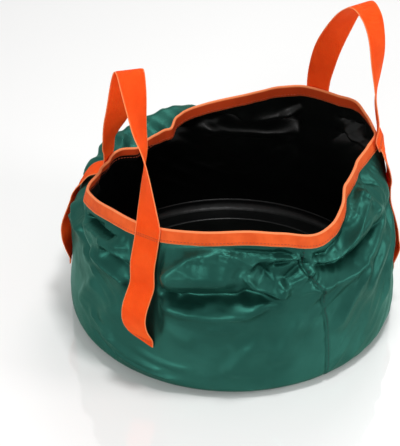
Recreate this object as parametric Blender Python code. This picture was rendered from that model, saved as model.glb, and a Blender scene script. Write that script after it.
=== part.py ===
"""Collapsible fabric bucket with two webbing carry handles, modelled as separate sub-parts.

Metres, +Z up. The origin is the centre of the flat base, on the floor. +X runs to the right handle.
The crumpled wall is one fabric on the real bucket. Here it is four nested bands that telescope.
"""

import math

import bmesh
import bpy
from mathutils import Vector

MILLIMETRE = 0.001  # unit of the lists below

# Base and wall
BASE_RADIUS = 0.141  # flat circle that stands on the floor
WALL_SWELL = 0.012  # how far the wall bulges past the base
SWELL_HEIGHT = 0.026  # height of the widest ring
WALL_LEAN = 0.11  # inward lean above the widest ring, metres per metre
FABRIC = 0.0008  # coated outer fabric
LINER = 0.0005  # waterproof inner liner
SEAT_GAP = 0.0003  # clearance between two layers that lie on each other
SEGMENTS = 72  # facets round the wall

# Telescoping bands
BANDS = 4
RIM_TRAVEL = 0.090  # drop of the rim when the bucket is collapsed
BAND_CLEARANCE = 0.0012  # radial running clearance between two bands
BAND_LAP = 0.005  # height that two bands share at rest
LOWEST_LAP = 0.014  # the same for the lowest two, so that the straps' ends lie on the lowest one
FLOOR_CLEARANCE = 0.009  # lowest band edge above the floor when collapsed

# Rim binding
RIM_RADIUS = 0.135
RIM_HEIGHT = 0.158
CLIMB_SHARE = 0.5  # share of its rise over which the top band still climbs straight
CLOSE_SHARE = 0.45  # the same for the straight run at its upper end
SHOULDER_CLIMB = 0.056  # the two runs where the shoulder is full
SHOULDER_REACH = 0.029
SHOULDER_DROP = 16  # degrees that a full shoulder falls away from the binding's foot
SHOULDER_SWELL = 0.002
BULGE_LIMIT = 0.0015  # how far that run may stand out past the band, which slides down inside the next
BINDING_CLEARANCE = 0.0008  # straight fabric below the binding, before it turns outwards
BINDING_WIDTH = 0.0125  # depth of the tape on each side of the edge
BINDING_GAUGE = 0.0007
# Each row: bearing round the rim in degrees, millimetres pushed in from the nominal radius,
# millimetres lifted above the nominal height, inward lean of the binding in degrees, and how far the
# fabric below it stands out in a shoulder, 0 to 1. The fabric stands where it last slumped.
RIM_STATIONS = (
    (-178, -1.5, -7.5, 15, 0),
    (-165, 0, -3, 15, 0),
    (-150, -0.5, -1, 14, 0),
    (-128, 0, 5, 14, 0),
    (-112, 1, 7.5, 14, 0),
    (-98, 1, 2, 14, 0),
    (-83, 0, -7.5, 14, 0),
    (-76, 2, -5.5, 12, 0),
    (-67, 9, 1, 10, 0.2),
    (-55, 21, 6.5, 8, 0.5),
    (-38, 22, 8, 8, 0.6),
    (-23, 12, 8, 14, 0.3),
    (-13, 1, 10, 24, 0),
    (-3, 1, 15, 24, 0),
    (6, -1, 17, 18, 0),
    (17, 0, 12.5, 14, 0),
    (33, -0.5, 8.5, 12, 0),
    (43.5, 7, 5.5, 10, 0.1),
    (52, 9.5, -1, 10, 0.2),
    (61, 13, -6, 8, 0.3),
    (79, 17, -12, 5, 0.6),
    (89, 21, -14, 4, 0.95),
    (97, 28, -20.5, 2, 1),
    (110, 29, -24, 2, 1),
    (124, 30, -24, 3, 0.8),
    (134, 22, -18.5, 10, 0.35),
    (156, 14, -15, 15, 0.2),
    (168, 2, -12, 15, 0.1),
    (174, -2, -10, 15, 0),
)

# Webbing straps
WEBBING_WIDTH = 0.025
WEBBING_GAUGE = 0.0014
HINGE_LIFT = 0.010  # handle hinge line above the binding
HINGE_GAP = 0.0009  # strap foot to handle loop
STRAP_SEAT = 0.0004  # strap to the binding or wall beneath it
TAIL_GAP = 0.0003  # between a strap tail and the strap parts at its two ends
TAIL_START = 0.004  # straight length of a tail at its lower end
TAIL_TURNS = 5  # rows of a tail over which it turns from the rim's line to level
TAIL_SETTLES = 4  # rows over which it lines up with its sewn lower end
TACK_LENGTH = 0.021
TACK_HEIGHT = 0.0022
TACK_GAUGE = 0.0005
TACK_DROP = 0.0075  # stitch line below the top of the binding
END_HEIGHT = 0.009  # sewn lower end of a strap
END_SEWN_AT = 0.052  # height of the top of a strap's sewn end

# Each foot: bearing on the rim, and bearing of its lower sewn end on the wall.
# tail: millimetres that the slack strap stands off the wall, going down in equal steps.
# Loop points: millimetres along the line between the two hinge points, and above that line.
# turns: share of the loop's length, and degrees that its width has turned there.
HANDLES = {
    "left": {
        "feet": {"front": (-147, -147), "rear": (142, 154)},
        "lean": -3.5,
        "loop": ((-66, 42), (-45, 67), (-26, 97), (-13, 109), (2, 97), (28, 58), (50, 30)),
        "turns": ((0, 0), (0.05, 0), (0.2, -17), (0.33, -48), (0.5, -91), (0.8, -75), (0.96, 0), (1, 0)),
    },
    "right": {
        "feet": {"front": (-15.5, -26), "rear": (28, 30)},
        "lean": 0.5,
        "loop": ((-44, 20), (-43, 46), (-38, 82), (-28, 99), (-12, 105), (4, 92), (24, 63), (39, 35)),
        "turns": ((0, 0), (0.05, 0), (0.15, -30), (0.3, -52), (0.5, -88), (0.7, -121), (0.95, -180), (1, -180)),
    },
}
TAIL_SLACK = {
    "left_front": (2, 4, 3, 7, 13.5, 14, 9),
    "left_rear": (4, 4, 3, 5, 5, 4, 2),
    "right_front": (3.5, 2.5, 3, 4, 6.5, 5, 2),
    "right_rear": (1, 2, 4, 6, 6, 3, 1),
}

# Sealing tapes on the inside
SEAM_TAPE_GAUGE = 0.0003
BASE_TAPE_WIDTH = 0.012  # reach of the base tape over the base liner
SIDE_SEAM_BEARING = -82.5  # where the wall's upright seam stands
SIDE_TAPE_WIDTH = 0.010

CURVE_STEPS = 48
SKIN_STEP = 0.004
BAND_NAMES = ("lower", "lower_middle", "upper_middle", "upper")
WIDEST_RADIUS = BASE_RADIUS + WALL_SWELL
WALL_GAUGE = FABRIC + SEAT_GAP + LINER
BAND_INSET = WALL_GAUGE + BAND_CLEARANCE
BAND_STEP = RIM_TRAVEL / (BANDS - 1)


def clear_scene():
    for obj in list(bpy.data.objects):
        bpy.data.objects.remove(obj, do_unlink=True)


def make_material(name, colour, roughness, coat=0.0):
    material = bpy.data.materials.new(name)
    material.use_nodes = True
    shader = material.node_tree.nodes["Principled BSDF"]
    shader.inputs["Base Color"].default_value = (*colour, 1)
    shader.inputs["Roughness"].default_value = roughness
    shader.inputs["Metallic"].default_value = 0.0
    shader.inputs["Coat Weight"].default_value = coat
    material.diffuse_color = (*colour, 1)
    return material


def add_mesh(name, points, faces, material):
    mesh = bpy.data.meshes.new(name)
    mesh.from_pydata([tuple(p) for p in points], [], faces)
    work = bmesh.new()
    work.from_mesh(mesh)
    bmesh.ops.recalc_face_normals(work, faces=work.faces[:])
    bmesh.ops.triangulate(work, faces=work.faces[:])
    work.to_mesh(mesh)
    work.free()
    mesh.materials.append(material)
    mesh.shade_smooth()
    mesh.set_sharp_from_angle(angle=math.radians(40))
    obj = bpy.data.objects.new(name, mesh)
    bpy.context.scene.collection.objects.link(obj)
    return obj


def add_sheet(name, outer, inner, material, closed=False):
    """A thin closed body between two equal grids of points. closed joins its last column to its first."""
    rows = len(outer)
    columns = len(outer[0])
    points = [p for row in outer for p in row] + [p for row in inner for p in row]
    back = rows * columns
    spans = columns if closed else columns - 1
    faces = []
    for r in range(rows - 1):
        for c in range(spans):
            a = r * columns + c
            b = r * columns + (c + 1) % columns
            faces.append((a, b, b + columns, a + columns))
            faces.append((back + a, back + a + columns, back + b + columns, back + b))
    for c in range(spans):
        low = (c, (c + 1) % columns)
        high = tuple(k + (rows - 1) * columns for k in low)
        faces.append((low[1], low[0], back + low[0], back + low[1]))
        faces.append((high[0], high[1], back + high[1], back + high[0]))
    if not closed:
        for r in range(rows - 1):
            for c in (0, columns - 1):
                a = r * columns + c
                faces.append((a, a + columns, back + a + columns, back + a))
    return add_mesh(name, points, faces, material)


def add_ring(name, sections, material):
    """A closed body swept all the way round, from equal closed outlines."""
    count = len(sections)
    size = len(sections[0])
    faces = []
    for i in range(count):
        for k in range(size):
            a = i * size + k
            b = i * size + (k + 1) % size
            faces.append((a, b, (b + size) % (count * size), (a + size) % (count * size)))
    return add_mesh(name, [p for s in sections for p in s], faces, material)


def add_disc(name, radius, low, thickness, material):
    sections = []
    for bearing in bearings():
        sections.append([on_bearing(bearing, radius, z) for z in (low, low + thickness)])
    points = [p for s in sections for p in s] + [Vector((0, 0, low)), Vector((0, 0, low + thickness))]
    faces = []
    for i in range(SEGMENTS):
        a = 2 * i
        b = 2 * ((i + 1) % SEGMENTS)
        faces.append((a, b, b + 1, a + 1))
        faces.append((b, a, 2 * SEGMENTS))
        faces.append((a + 1, b + 1, 2 * SEGMENTS + 1))
    return add_mesh(name, points, faces, material)


def bearings():
    return [360 * i / SEGMENTS for i in range(SEGMENTS)]


def on_bearing(bearing, radius, height):
    angle = math.radians(bearing)
    return Vector((radius * math.cos(angle), radius * math.sin(angle), height))


def round_the_rim(bearing, column):
    """Smooth periodic value of one column of RIM_STATIONS, with no overshoot between its rows."""
    at = [row[0] for row in RIM_STATIONS]
    value = [row[column] for row in RIM_STATIONS]
    count = len(at)
    slope = []
    for i in range(count):
        before = (at[i] - at[i - 1]) % 360
        after = (at[(i + 1) % count] - at[i]) % 360
        rise_in = (value[i] - value[i - 1]) / before
        rise_out = (value[(i + 1) % count] - value[i]) / after
        if rise_in * rise_out <= 0:
            slope.append(0.0)
        else:
            near = (2 * after + before) / rise_in
            far = (after + 2 * before) / rise_out
            slope.append(3 * (before + after) / (near + far))
    turned = (bearing - at[0]) % 360
    i = max(k for k in range(count) if at[k] - at[0] <= turned + 1e-9)
    j = (i + 1) % count
    span = (at[j] - at[i]) % 360
    t = (turned - (at[i] - at[0])) / span
    return (
        (1 + 2 * t) * (1 - t) ** 2 * value[i]
        + t * (1 - t) ** 2 * span * slope[i]
        + t * t * (3 - 2 * t) * value[j]
        - t * t * (1 - t) * span * slope[j]
    )


def rim_radius(bearing):
    return RIM_RADIUS - round_the_rim(bearing, 1) * MILLIMETRE


def rim_height(bearing):
    return RIM_HEIGHT + round_the_rim(bearing, 2) * MILLIMETRE


def wall_radius(height):
    """Outer radius of the round lower wall."""
    if height < SWELL_HEIGHT:
        return WIDEST_RADIUS - WALL_SWELL * (1 - height / SWELL_HEIGHT) ** 6
    return WIDEST_RADIUS - WALL_LEAN * (height - SWELL_HEIGHT)


def band_low(band):
    return 0.0 if band == 0 else FLOOR_CLEARANCE + band * BAND_STEP


def band_high(band):
    return FLOOR_CLEARANCE + (band + 1) * BAND_STEP + (LOWEST_LAP if band == 0 else BAND_LAP)


def band_radius(band):
    """Outer radius of an upper band. It is straight, so that it follows the leaning wall closely and
    still passes down inside the band below."""
    return wall_radius(band_high(0)) - band * BAND_INSET


def band_profile(band):
    """(radius, height) of a round band's outer face, from its lower edge to its upper one."""
    low, high = band_low(band), band_high(band)
    if band > 0:
        return [(band_radius(band), low), (band_radius(band), high)]
    heights = [low + (high - low) * share for share in (0, 0.05, 0.15, 0.32, 0.6, 1)]
    return [(wall_radius(z), z) for z in heights]


def strip_ends(bearing):
    """(radius, height) of the foot and of the top of the straight strip that carries the binding."""
    lean = math.radians(round_the_rim(bearing, 3))
    top = (rim_radius(bearing), rim_height(bearing) - BINDING_GAUGE - SEAT_GAP)
    run = BINDING_WIDTH + BINDING_CLEARANCE
    return (top[0] + math.sin(lean) * run, top[1] - math.cos(lean) * run), top


def rim_curve(bearing, start_radius):
    """Fine (radius, height) curve at one bearing, from the top band's lower edge up to the strip."""
    low = band_low(BANDS - 1)
    foot = strip_ends(bearing)[0]
    lean = math.radians(round_the_rim(bearing, 3))
    out = round_the_rim(bearing, 4)
    drop = math.radians(SHOULDER_DROP)
    rise = foot[1] - low
    climb = CLIMB_SHARE * rise * (1 - out) + SHOULDER_CLIMB * out
    reach = CLOSE_SHARE * rise * (1 - out) + SHOULDER_REACH * out
    way = (
        (1 - out) * math.sin(lean) + out * math.cos(drop),
        -(1 - out) * math.cos(lean) - out * math.sin(drop),
    )
    size = math.hypot(*way)
    bends = (
        (start_radius + SHOULDER_SWELL * out, low + climb),
        (min(foot[0] + way[0] / size * reach, start_radius + BULGE_LIMIT), foot[1] + way[1] / size * reach),
    )
    curve = []
    for i in range(CURVE_STEPS + 1):
        t = i / CURVE_STEPS
        curve.append(
            tuple(
                (1 - t) ** 3 * p + 3 * t * (1 - t) ** 2 * q + 3 * t * t * (1 - t) * r + t**3 * s
                for p, q, r, s in zip((start_radius, low), *bends, foot)
            )
        )
    return curve


def top_profile(bearing):
    """(radius, height) of the top band's outer face: five rows up to the foot of the straight strip,
    then the binding's lower edge, its middle and the rim."""
    curve = rim_curve(bearing, band_radius(BANDS - 1))
    lower = [curve[k * CURVE_STEPS // 4] for k in range(5)]
    top = strip_ends(bearing)[1]
    edge = back_from_end([curve[-1], top], BINDING_WIDTH)
    middle = tuple((p + q) / 2 for p, q in zip(edge, top))
    return [*lower, edge, middle, top]


def skin_line(bearing):
    """The continuous wall that the bands stand for, from the binding's lower edge to the straps' ends."""
    low = band_low(BANDS - 1)
    curve = rim_curve(bearing, wall_radius(low))
    edge = back_from_end([curve[-1], strip_ends(bearing)[1]], BINDING_WIDTH)
    steps = round((low - END_SEWN_AT) / SKIN_STEP)
    heights = [END_SEWN_AT + (low - END_SEWN_AT) * i / steps for i in range(steps + 1)]
    return ([(wall_radius(z), z) for z in heights] + curve[1:] + [edge])[::-1]


def back_from_end(curve, depth):
    left = depth
    for a, b in zip(curve[::-1], curve[-2::-1]):
        run = math.dist(a, b)
        if run >= left:
            return tuple(p + (q - p) * left / run for p, q in zip(a, b))
        left -= run
    return curve[0]


def outward(profile):
    """(radius, height) normals of a profile that runs upwards, pointing away from the inside. At a
    corner they are longer, so that an offset face keeps its distance on both sides."""
    flats = []
    for a, b in zip(profile, profile[1:]):
        run = math.dist(a, b)
        flats.append(((b[1] - a[1]) / run, (a[0] - b[0]) / run))
    normals = []
    for p, q in zip([flats[0], *flats], [*flats, flats[-1]]):
        size = 1 + p[0] * q[0] + p[1] * q[1]
        normals.append(((p[0] + q[0]) / size, (p[1] + q[1]) / size))
    return normals


def offset(profile, distance):
    return [
        (p[0] + n[0] * distance, p[1] + n[1] * distance) for p, n in zip(profile, outward(profile))
    ]


def face_grid(profiles, distance):
    """Rows of points, one row for each profile point, one column for each bearing."""
    moved = [offset(profile, distance) for profile in profiles]
    return [
        [on_bearing(b, *moved[c][r]) for c, b in enumerate(bearings())] for r in range(len(profiles[0]))
    ]


def add_wall_layer(name, profiles, depth, thickness, material):
    """A closed ring of fabric whose outer face lies depth inside the wall's outer face."""
    outer = face_grid(profiles, -depth)
    inner = face_grid(profiles, -depth - thickness)
    return add_sheet(name, outer, inner, material, closed=True)


def profile_of(band, bearing):
    return top_profile(bearing) if band == BANDS - 1 else band_profile(band)


def add_walls(fabric, liner, tape):
    for band, name in enumerate(BAND_NAMES):
        profiles = [profile_of(band, b) for b in bearings()]
        add_wall_layer(f"wall_{name}", profiles, 0, FABRIC, fabric)
        add_wall_layer(f"liner_{name}", profiles, FABRIC + SEAT_GAP, LINER, liner)
        add_side_tape(f"side_seam_tape_{name}", band, tape)


def add_side_tape(name, band, material):
    """Tape over the upright seam, inside one band. It lies on a single facet of the wall."""
    facet = 360 / SEGMENTS
    edges = [math.floor(SIDE_SEAM_BEARING / facet) * facet]
    edges.append(edges[0] + facet)
    faces = []
    for depth in (WALL_GAUGE + SEAT_GAP, WALL_GAUGE + SEAT_GAP + SEAM_TAPE_GAUGE):
        sides = []
        for edge in edges:
            profile = profile_of(band, edge)
            moved = offset(profile, -depth)
            if band == 0:
                moved = moved[3:]
            if band == BANDS - 1:
                moved = [*moved[:-3], back_from_end(moved[:-2], SEAT_GAP)]
            sides.append([on_bearing(edge, *p) for p in moved])
        rows = []
        for left, right in zip(*sides):
            middle = (left + right) / 2
            half = (right - left).normalized() * SIDE_TAPE_WIDTH / 2
            rows.append([middle - half, middle + half])
        faces.append(rows)
    return add_sheet(name, *faces, material)


def add_base(fabric, liner, tape):
    """Outer panel, inner liner, and the tape that seals the liner to the wall's own liner."""
    wall_foot = offset(band_profile(0), -FABRIC)[0]
    liner_foot = offset(band_profile(0), -WALL_GAUGE)[0]
    add_disc("base_outer_panel", wall_foot[0] - SEAT_GAP, 0, FABRIC, fabric)
    add_disc("base_inner_liner", liner_foot[0] - SEAT_GAP, FABRIC + SEAT_GAP, LINER, liner)
    floor = WALL_GAUGE + SEAT_GAP
    corner = liner_foot[0] - SEAT_GAP
    climb = offset(band_profile(0), -WALL_GAUGE - SEAT_GAP)[1:3]
    profile = [(corner - BASE_TAPE_WIDTH, floor), (corner, floor), *climb]
    add_wall_layer("base_seam_tape", [profile] * SEGMENTS, 0, SEAM_TAPE_GAUGE, tape)


def add_binding(material):
    """Tape folded over the rim: an outer leg, a top and an inner leg."""
    sections = []
    near = SEAT_GAP
    far = SEAT_GAP + BINDING_GAUGE
    for bearing in bearings():
        profile = top_profile(bearing)
        normals = outward(profile)[-3::2]
        low, top = profile[-3::2]
        up = (-normals[1][1], normals[1][0])

        def at(point, normal, across, above=0.0):
            return on_bearing(
                bearing,
                point[0] + normal[0] * across + up[0] * above,
                point[1] + normal[1] * across + up[1] * above,
            )

        outline = [
            at(low, normals[0], far),
            at(top, normals[1], far, far),
            at(top, normals[1], -WALL_GAUGE - far, far),
            at(low, normals[0], -WALL_GAUGE - far),
            at(low, normals[0], -WALL_GAUGE - near),
            at(top, normals[1], -WALL_GAUGE - near, near),
            at(top, normals[1], near, near),
            at(low, normals[0], near),
        ]
        for leg in (6, 4, 2, 0):
            outline.insert(leg + 1, (outline[leg] + outline[leg + 1]) / 2)
        sections.append(outline)
    return add_ring("rim_binding", sections, material)


def rim_point(bearing, depth, stand):
    """A point that stands off the rim's outer face, lying on the same flat facets as the wall."""
    facet = 360 / SEGMENTS
    before = math.floor(bearing / facet) * facet
    share = (bearing - before) / facet
    ends = []
    for edge in (before, before + facet):
        low, top = offset(top_profile(edge), stand)[-3::2]
        down = depth / BINDING_WIDTH
        ends.append(on_bearing(edge, top[0] + (low[0] - top[0]) * down, top[1] + (low[1] - top[1]) * down))
    return ends[0].lerp(ends[1], share)


def strap_bearings(bearing, width):
    """Bearings across a strap of this width on the rim: its two edges and each facet edge between."""
    half = math.degrees(width / 2 / rim_radius(bearing))
    for _ in range(3):
        reach = rim_point(bearing + half, 0, 0) - rim_point(bearing - half, 0, 0)
        half *= width / reach.length
    facet = 360 / SEGMENTS
    first = math.floor((bearing - half) / facet) + 1
    last = math.ceil((bearing + half) / facet) - 1
    return [bearing - half, *[k * facet for k in range(first, last + 1)], bearing + half]


def patch_rows(bearings_across, depths, stand):
    return [[rim_point(b, depth, stand) for b in bearings_across] for depth in depths]


def foot_stand():
    return SEAT_GAP + BINDING_GAUGE + STRAP_SEAT


def hinge_point(bearing):
    """Where a handle loop meets its foot, above the binding."""
    return rim_point(bearing, 0, foot_stand() + WEBBING_GAUGE / 2) + Vector((0, 0, HINGE_LIFT))


def spread_of(bearings_across):
    """Where each column of a strap lies across its width, from -0.5 to 0.5."""
    first, last = bearings_across[0], bearings_across[-1]
    return [(b - first) / (last - first) - 0.5 for b in bearings_across]


def add_foot(name, bearing, hinge_line, material):
    """The sewn foot of a strap: flat on the binding, then turned to the hinge line above it."""
    columns = strap_bearings(bearing, WEBBING_WIDTH)
    clear = -(BINDING_GAUGE + SEAT_GAP + STRAP_SEAT)
    depths = (BINDING_WIDTH, TACK_DROP + TACK_HEIGHT, TACK_DROP, 0, clear)
    outer = patch_rows(columns, depths, foot_stand() + WEBBING_GAUGE)
    inner = patch_rows(columns, depths, foot_stand())
    start = rim_point(bearing, clear, foot_stand() + WEBBING_GAUGE / 2)
    across_low = (outer[-1][-1] - outer[-1][0]).normalized()
    across_high = hinge_line.normalized() * (1 if hinge_line.dot(across_low) > 0 else -1)
    outside = rim_point(bearing, 0, foot_stand() + WEBBING_GAUGE) - rim_point(bearing, 0, foot_stand())
    end = hinge_point(bearing) - Vector((0, 0, HINGE_GAP))
    for share in (0.5, 1.0):
        centre = start.lerp(end, share)
        across = across_low.lerp(across_high, share).normalized()
        flat = Vector((across.y, -across.x, 0)).normalized()
        if flat.dot(outside) < 0:
            flat = -flat
        row = [centre + across * WEBBING_WIDTH * k for k in spread_of(columns)]
        outer.append([p + flat * WEBBING_GAUGE / 2 for p in row])
        inner.append([p - flat * WEBBING_GAUGE / 2 for p in row])
    return add_sheet(name, outer, inner, material)


def add_rim_tack(name, bearing, material):
    """A bar of close stitching across the foot of a strap."""
    columns = strap_bearings(bearing, TACK_LENGTH)
    depths = (TACK_DROP + TACK_HEIGHT, TACK_DROP)
    seat = foot_stand() + WEBBING_GAUGE + SEAT_GAP
    outer = patch_rows(columns, depths, seat + TACK_GAUGE)
    inner = patch_rows(columns, depths, seat)
    return add_sheet(name, outer, inner, material)


def smooth_through(points, per_span):
    """Points of a smooth curve through the given ones."""
    ends = [points[0] * 2 - points[1], *points, points[-1] * 2 - points[-2]]
    found = []
    for i in range(1, len(ends) - 2):
        p, q, r, s = ends[i - 1 : i + 3]
        for k in range(per_span):
            t = k / per_span
            found.append(
                0.5 * (2 * q + (r - p) * t + (2 * p - 5 * q + 4 * r - s) * t * t)
                + 0.5 * (3 * q - p - 3 * r + s) * t**3
            )
    return [*found, points[-1].copy()]


def between(stations, share):
    """Value of a line of (share, value) stations."""
    for (a, p), (b, q) in zip(stations, stations[1:]):
        if share <= b:
            return p + (q - p) * (share - a) / (b - a)
    return stations[-1][1]


def add_loop(name, side, material):
    """A carry loop, with its width along the hinge line at both feet and square to it at the top."""
    handle = HANDLES[side]
    start, end = (hinge_point(handle["feet"][key][0]) for key in ("front", "rear"))
    along = (end - start).normalized()
    middle = (start + end) / 2
    away = Vector((middle.x, middle.y, 0)).normalized()
    flat = (away - along * away.dot(along)).normalized()
    lean = math.radians(handle["lean"])
    up = along.cross(flat).normalized()
    if up.z < 0:
        up = -up
    rise = up * math.cos(lean) + flat * math.sin(lean)
    points = [start]
    for x, y in handle["loop"]:
        points.append(middle + along * x * MILLIMETRE + rise * y * MILLIMETRE)
    points.append(end)
    line = smooth_through(points, 4)
    lengths = [0.0]
    for a, b in zip(line, line[1:]):
        lengths.append(lengths[-1] + (b - a).length)
    outer, inner = [], []
    square = rise.cross(along).normalized()
    for i, centre in enumerate(line):
        share = lengths[i] / lengths[-1]
        ahead = line[min(i + 1, len(line) - 1)] - line[max(i - 1, 0)]
        ahead.normalize()
        if i in (0, len(line) - 1):
            ahead = rise if i == 0 else -rise
        turn = math.radians(between(handle["turns"], share))
        wanted = along * math.cos(turn) + square * math.sin(turn)
        across = (wanted - ahead * wanted.dot(ahead)).normalized()
        normal = across.cross(ahead).normalized()
        gauge = WEBBING_GAUGE if 0 < i < len(line) - 1 else WEBBING_GAUGE / 2
        half = across * WEBBING_WIDTH / 2
        outer.append([centre - half + normal * gauge / 2, centre + half + normal * gauge / 2])
        inner.append([centre - half - normal * gauge / 2, centre + half - normal * gauge / 2])
    loop = add_sheet(name, outer, inner, material)
    for vertex in loop.data.vertices:
        vertex.co -= start
    loop.location = start
    return loop


def add_end(name, bearing, material):
    """The lower end of a strap, sewn flat on the lowest band."""
    heights = (END_SEWN_AT, END_SEWN_AT - END_HEIGHT / 2, END_SEWN_AT - END_HEIGHT)
    faces = []
    for stand in (STRAP_SEAT + WEBBING_GAUGE, STRAP_SEAT):
        rows = []
        for z in heights:
            radius = wall_radius(z) + stand
            turn = math.degrees(WEBBING_WIDTH / 2 / radius)
            rows.append([on_bearing(bearing + turn * (k / 2 - 1), radius, z) for k in range(5)])
        faces.append(rows)
    return add_sheet(name, *faces, material)


def add_end_tack(name, bearing, material):
    middle = END_SEWN_AT - END_HEIGHT / 2
    faces = []
    for stand in (TACK_GAUGE, 0):
        rows = []
        for z in (middle + TACK_HEIGHT / 2, middle - TACK_HEIGHT / 2):
            radius = wall_radius(z) + STRAP_SEAT + WEBBING_GAUGE + SEAT_GAP + stand
            turn = math.degrees(TACK_LENGTH / 2 / radius)
            rows.append([on_bearing(bearing + turn * (k / 2 - 1), radius, z) for k in range(5)])
        faces.append(rows)
    return add_sheet(name, *faces, material)


def skin_point(bearing, share, stand):
    """A point off the continuous wall, share of the way down from the binding to the sewn end."""
    line = skin_line(bearing)
    lengths = [math.dist(a, b) for a, b in zip(line, line[1:])]
    left = share * sum(lengths)
    for a, b, run in zip(line, line[1:], lengths):
        if left <= run + 1e-9:
            t = left / run
            off = stand / run
            radius = a[0] + (b[0] - a[0]) * t + (a[1] - b[1]) * off
            return on_bearing(bearing, radius, a[1] + (b[1] - a[1]) * t + (b[0] - a[0]) * off)
        left -= run
    return on_bearing(bearing, line[-1][0] + stand, line[-1][1])


def add_tail(name, foot_bearing, end_bearing, slack, material):
    """The slack length of a strap between the rim and its sewn lower end."""
    columns = strap_bearings(foot_bearing, WEBBING_WIDTH)
    spread = spread_of(columns)
    stand = STRAP_SEAT + WEBBING_GAUGE / 2
    seat = foot_stand() + WEBBING_GAUGE / 2
    top = rim_point(foot_bearing, BINDING_WIDTH, seat)
    down = (top - rim_point(foot_bearing, 0, seat)).normalized()
    top_row = [rim_point(b, BINDING_WIDTH, seat) + down * TAIL_GAP for b in columns]
    top_across = (top_row[-1] - top_row[0]).normalized()
    turn = (end_bearing - foot_bearing + 180) % 360 - 180
    points = [top + down * TAIL_GAP]
    for i, off in enumerate(slack):
        share = (i + 1) / (len(slack) + 1)
        points.append(skin_point(foot_bearing + turn * share, share, stand + off * MILLIMETRE))
    bottom = END_SEWN_AT + TAIL_GAP
    for z in (bottom + TAIL_START, bottom):
        points.append(on_bearing(end_bearing, wall_radius(z) + stand, z))
    line = smooth_through(points, 2)
    last = len(line) - 1
    chord = [top_row[0].lerp(top_row[-1], k + 0.5) for k in spread]
    middle = line[0] - (top_row[0] + top_row[-1]) / 2
    held = [p - q - middle for p, q in zip(top_row, chord)]
    outer, inner = [], []
    for i, centre in enumerate(line):
        ahead = (line[min(i + 1, last)] - line[max(i - 1, 0)]).normalized()
        if i == 0:
            ahead = down
        if i == last:
            ahead = Vector((0, 0, -1))
        level = Vector((-centre.y, centre.x, 0)).normalized()
        free = min(1, i / TAIL_TURNS)
        across = top_across.lerp(level, free)
        square = (across - ahead * across.dot(ahead)).normalized()
        sewn = max(0, 1 - i / TAIL_TURNS, 1 - (last - i) / TAIL_SETTLES)
        across = square.lerp(across, sewn).normalized()
        normal = across.cross(ahead)
        if normal.dot(Vector((centre.x, centre.y, 0)) + Vector((0, 0, 0.1))) < 0:
            normal = -normal
        low, high = [], []
        for k, bend in zip(spread, held):
            bow = normal * WEBBING_WIDTH**2 * k * k / 2 / centre.xy.length
            at = centre + across * WEBBING_WIDTH * k + bend * (1 - free) - bow * free
            low.append(at - normal * WEBBING_GAUGE / 2)
            high.append(at + normal * WEBBING_GAUGE / 2)
        outer.append(high)
        inner.append(low)
    return add_sheet(name, outer, inner, material)


def add_straps(webbing, thread):
    for side, handle in HANDLES.items():
        hinges = [hinge_point(handle["feet"][key][0]) for key in ("front", "rear")]
        hinge_line = hinges[1] - hinges[0]
        print(side, "hinge points", [[round(v, 6) for v in p] for p in hinges])
        for key, (bearing, end_bearing) in handle["feet"].items():
            label = f"{side}_{key}"
            add_foot(f"strap_foot_{label}", bearing, hinge_line, webbing)
            add_rim_tack(f"rim_tack_{label}", bearing, thread)
            add_tail(f"strap_tail_{label}", bearing, end_bearing, TAIL_SLACK[label], webbing)
            add_end(f"strap_end_{label}", end_bearing, webbing)
            add_end_tack(f"end_tack_{label}", end_bearing, thread)
        add_loop(f"handle_loop_{side}", side, webbing)


def main():
    clear_scene()
    green = make_material("green_fabric", (0.024, 0.105, 0.085), 0.35, 0.2)
    black = make_material("black_liner", (0.006, 0.007, 0.007), 0.25, 0.3)
    seal = make_material("seam_tape", (0.008, 0.009, 0.009), 0.3, 0.3)
    orange = make_material("orange_webbing", (0.80, 0.095, 0.02), 0.75)
    binding = make_material("rim_binding", (0.78, 0.13, 0.03), 0.7)
    thread = make_material("orange_thread", (0.85, 0.22, 0.08), 0.6)
    add_base(green, black, seal)
    add_walls(green, black, seal)
    add_binding(binding)
    add_straps(orange, thread)


main()
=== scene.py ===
import math

import bmesh
import bpy
import numpy as np
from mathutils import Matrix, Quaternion, Vector, noise


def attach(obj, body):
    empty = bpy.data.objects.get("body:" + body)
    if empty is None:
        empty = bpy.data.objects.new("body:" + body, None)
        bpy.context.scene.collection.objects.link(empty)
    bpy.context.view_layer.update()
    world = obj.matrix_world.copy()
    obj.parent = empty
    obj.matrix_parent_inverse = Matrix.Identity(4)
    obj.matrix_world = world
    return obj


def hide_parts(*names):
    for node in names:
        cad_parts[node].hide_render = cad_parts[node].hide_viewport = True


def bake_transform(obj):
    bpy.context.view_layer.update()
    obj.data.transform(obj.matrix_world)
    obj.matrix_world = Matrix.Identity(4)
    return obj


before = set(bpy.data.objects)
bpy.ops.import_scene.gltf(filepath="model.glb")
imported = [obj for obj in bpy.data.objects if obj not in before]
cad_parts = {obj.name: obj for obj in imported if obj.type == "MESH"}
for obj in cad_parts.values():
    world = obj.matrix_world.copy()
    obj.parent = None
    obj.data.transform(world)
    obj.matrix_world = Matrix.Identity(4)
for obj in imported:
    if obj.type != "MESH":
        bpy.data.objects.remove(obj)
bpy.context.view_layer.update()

mm = 0.001
scene = bpy.context.scene

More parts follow.
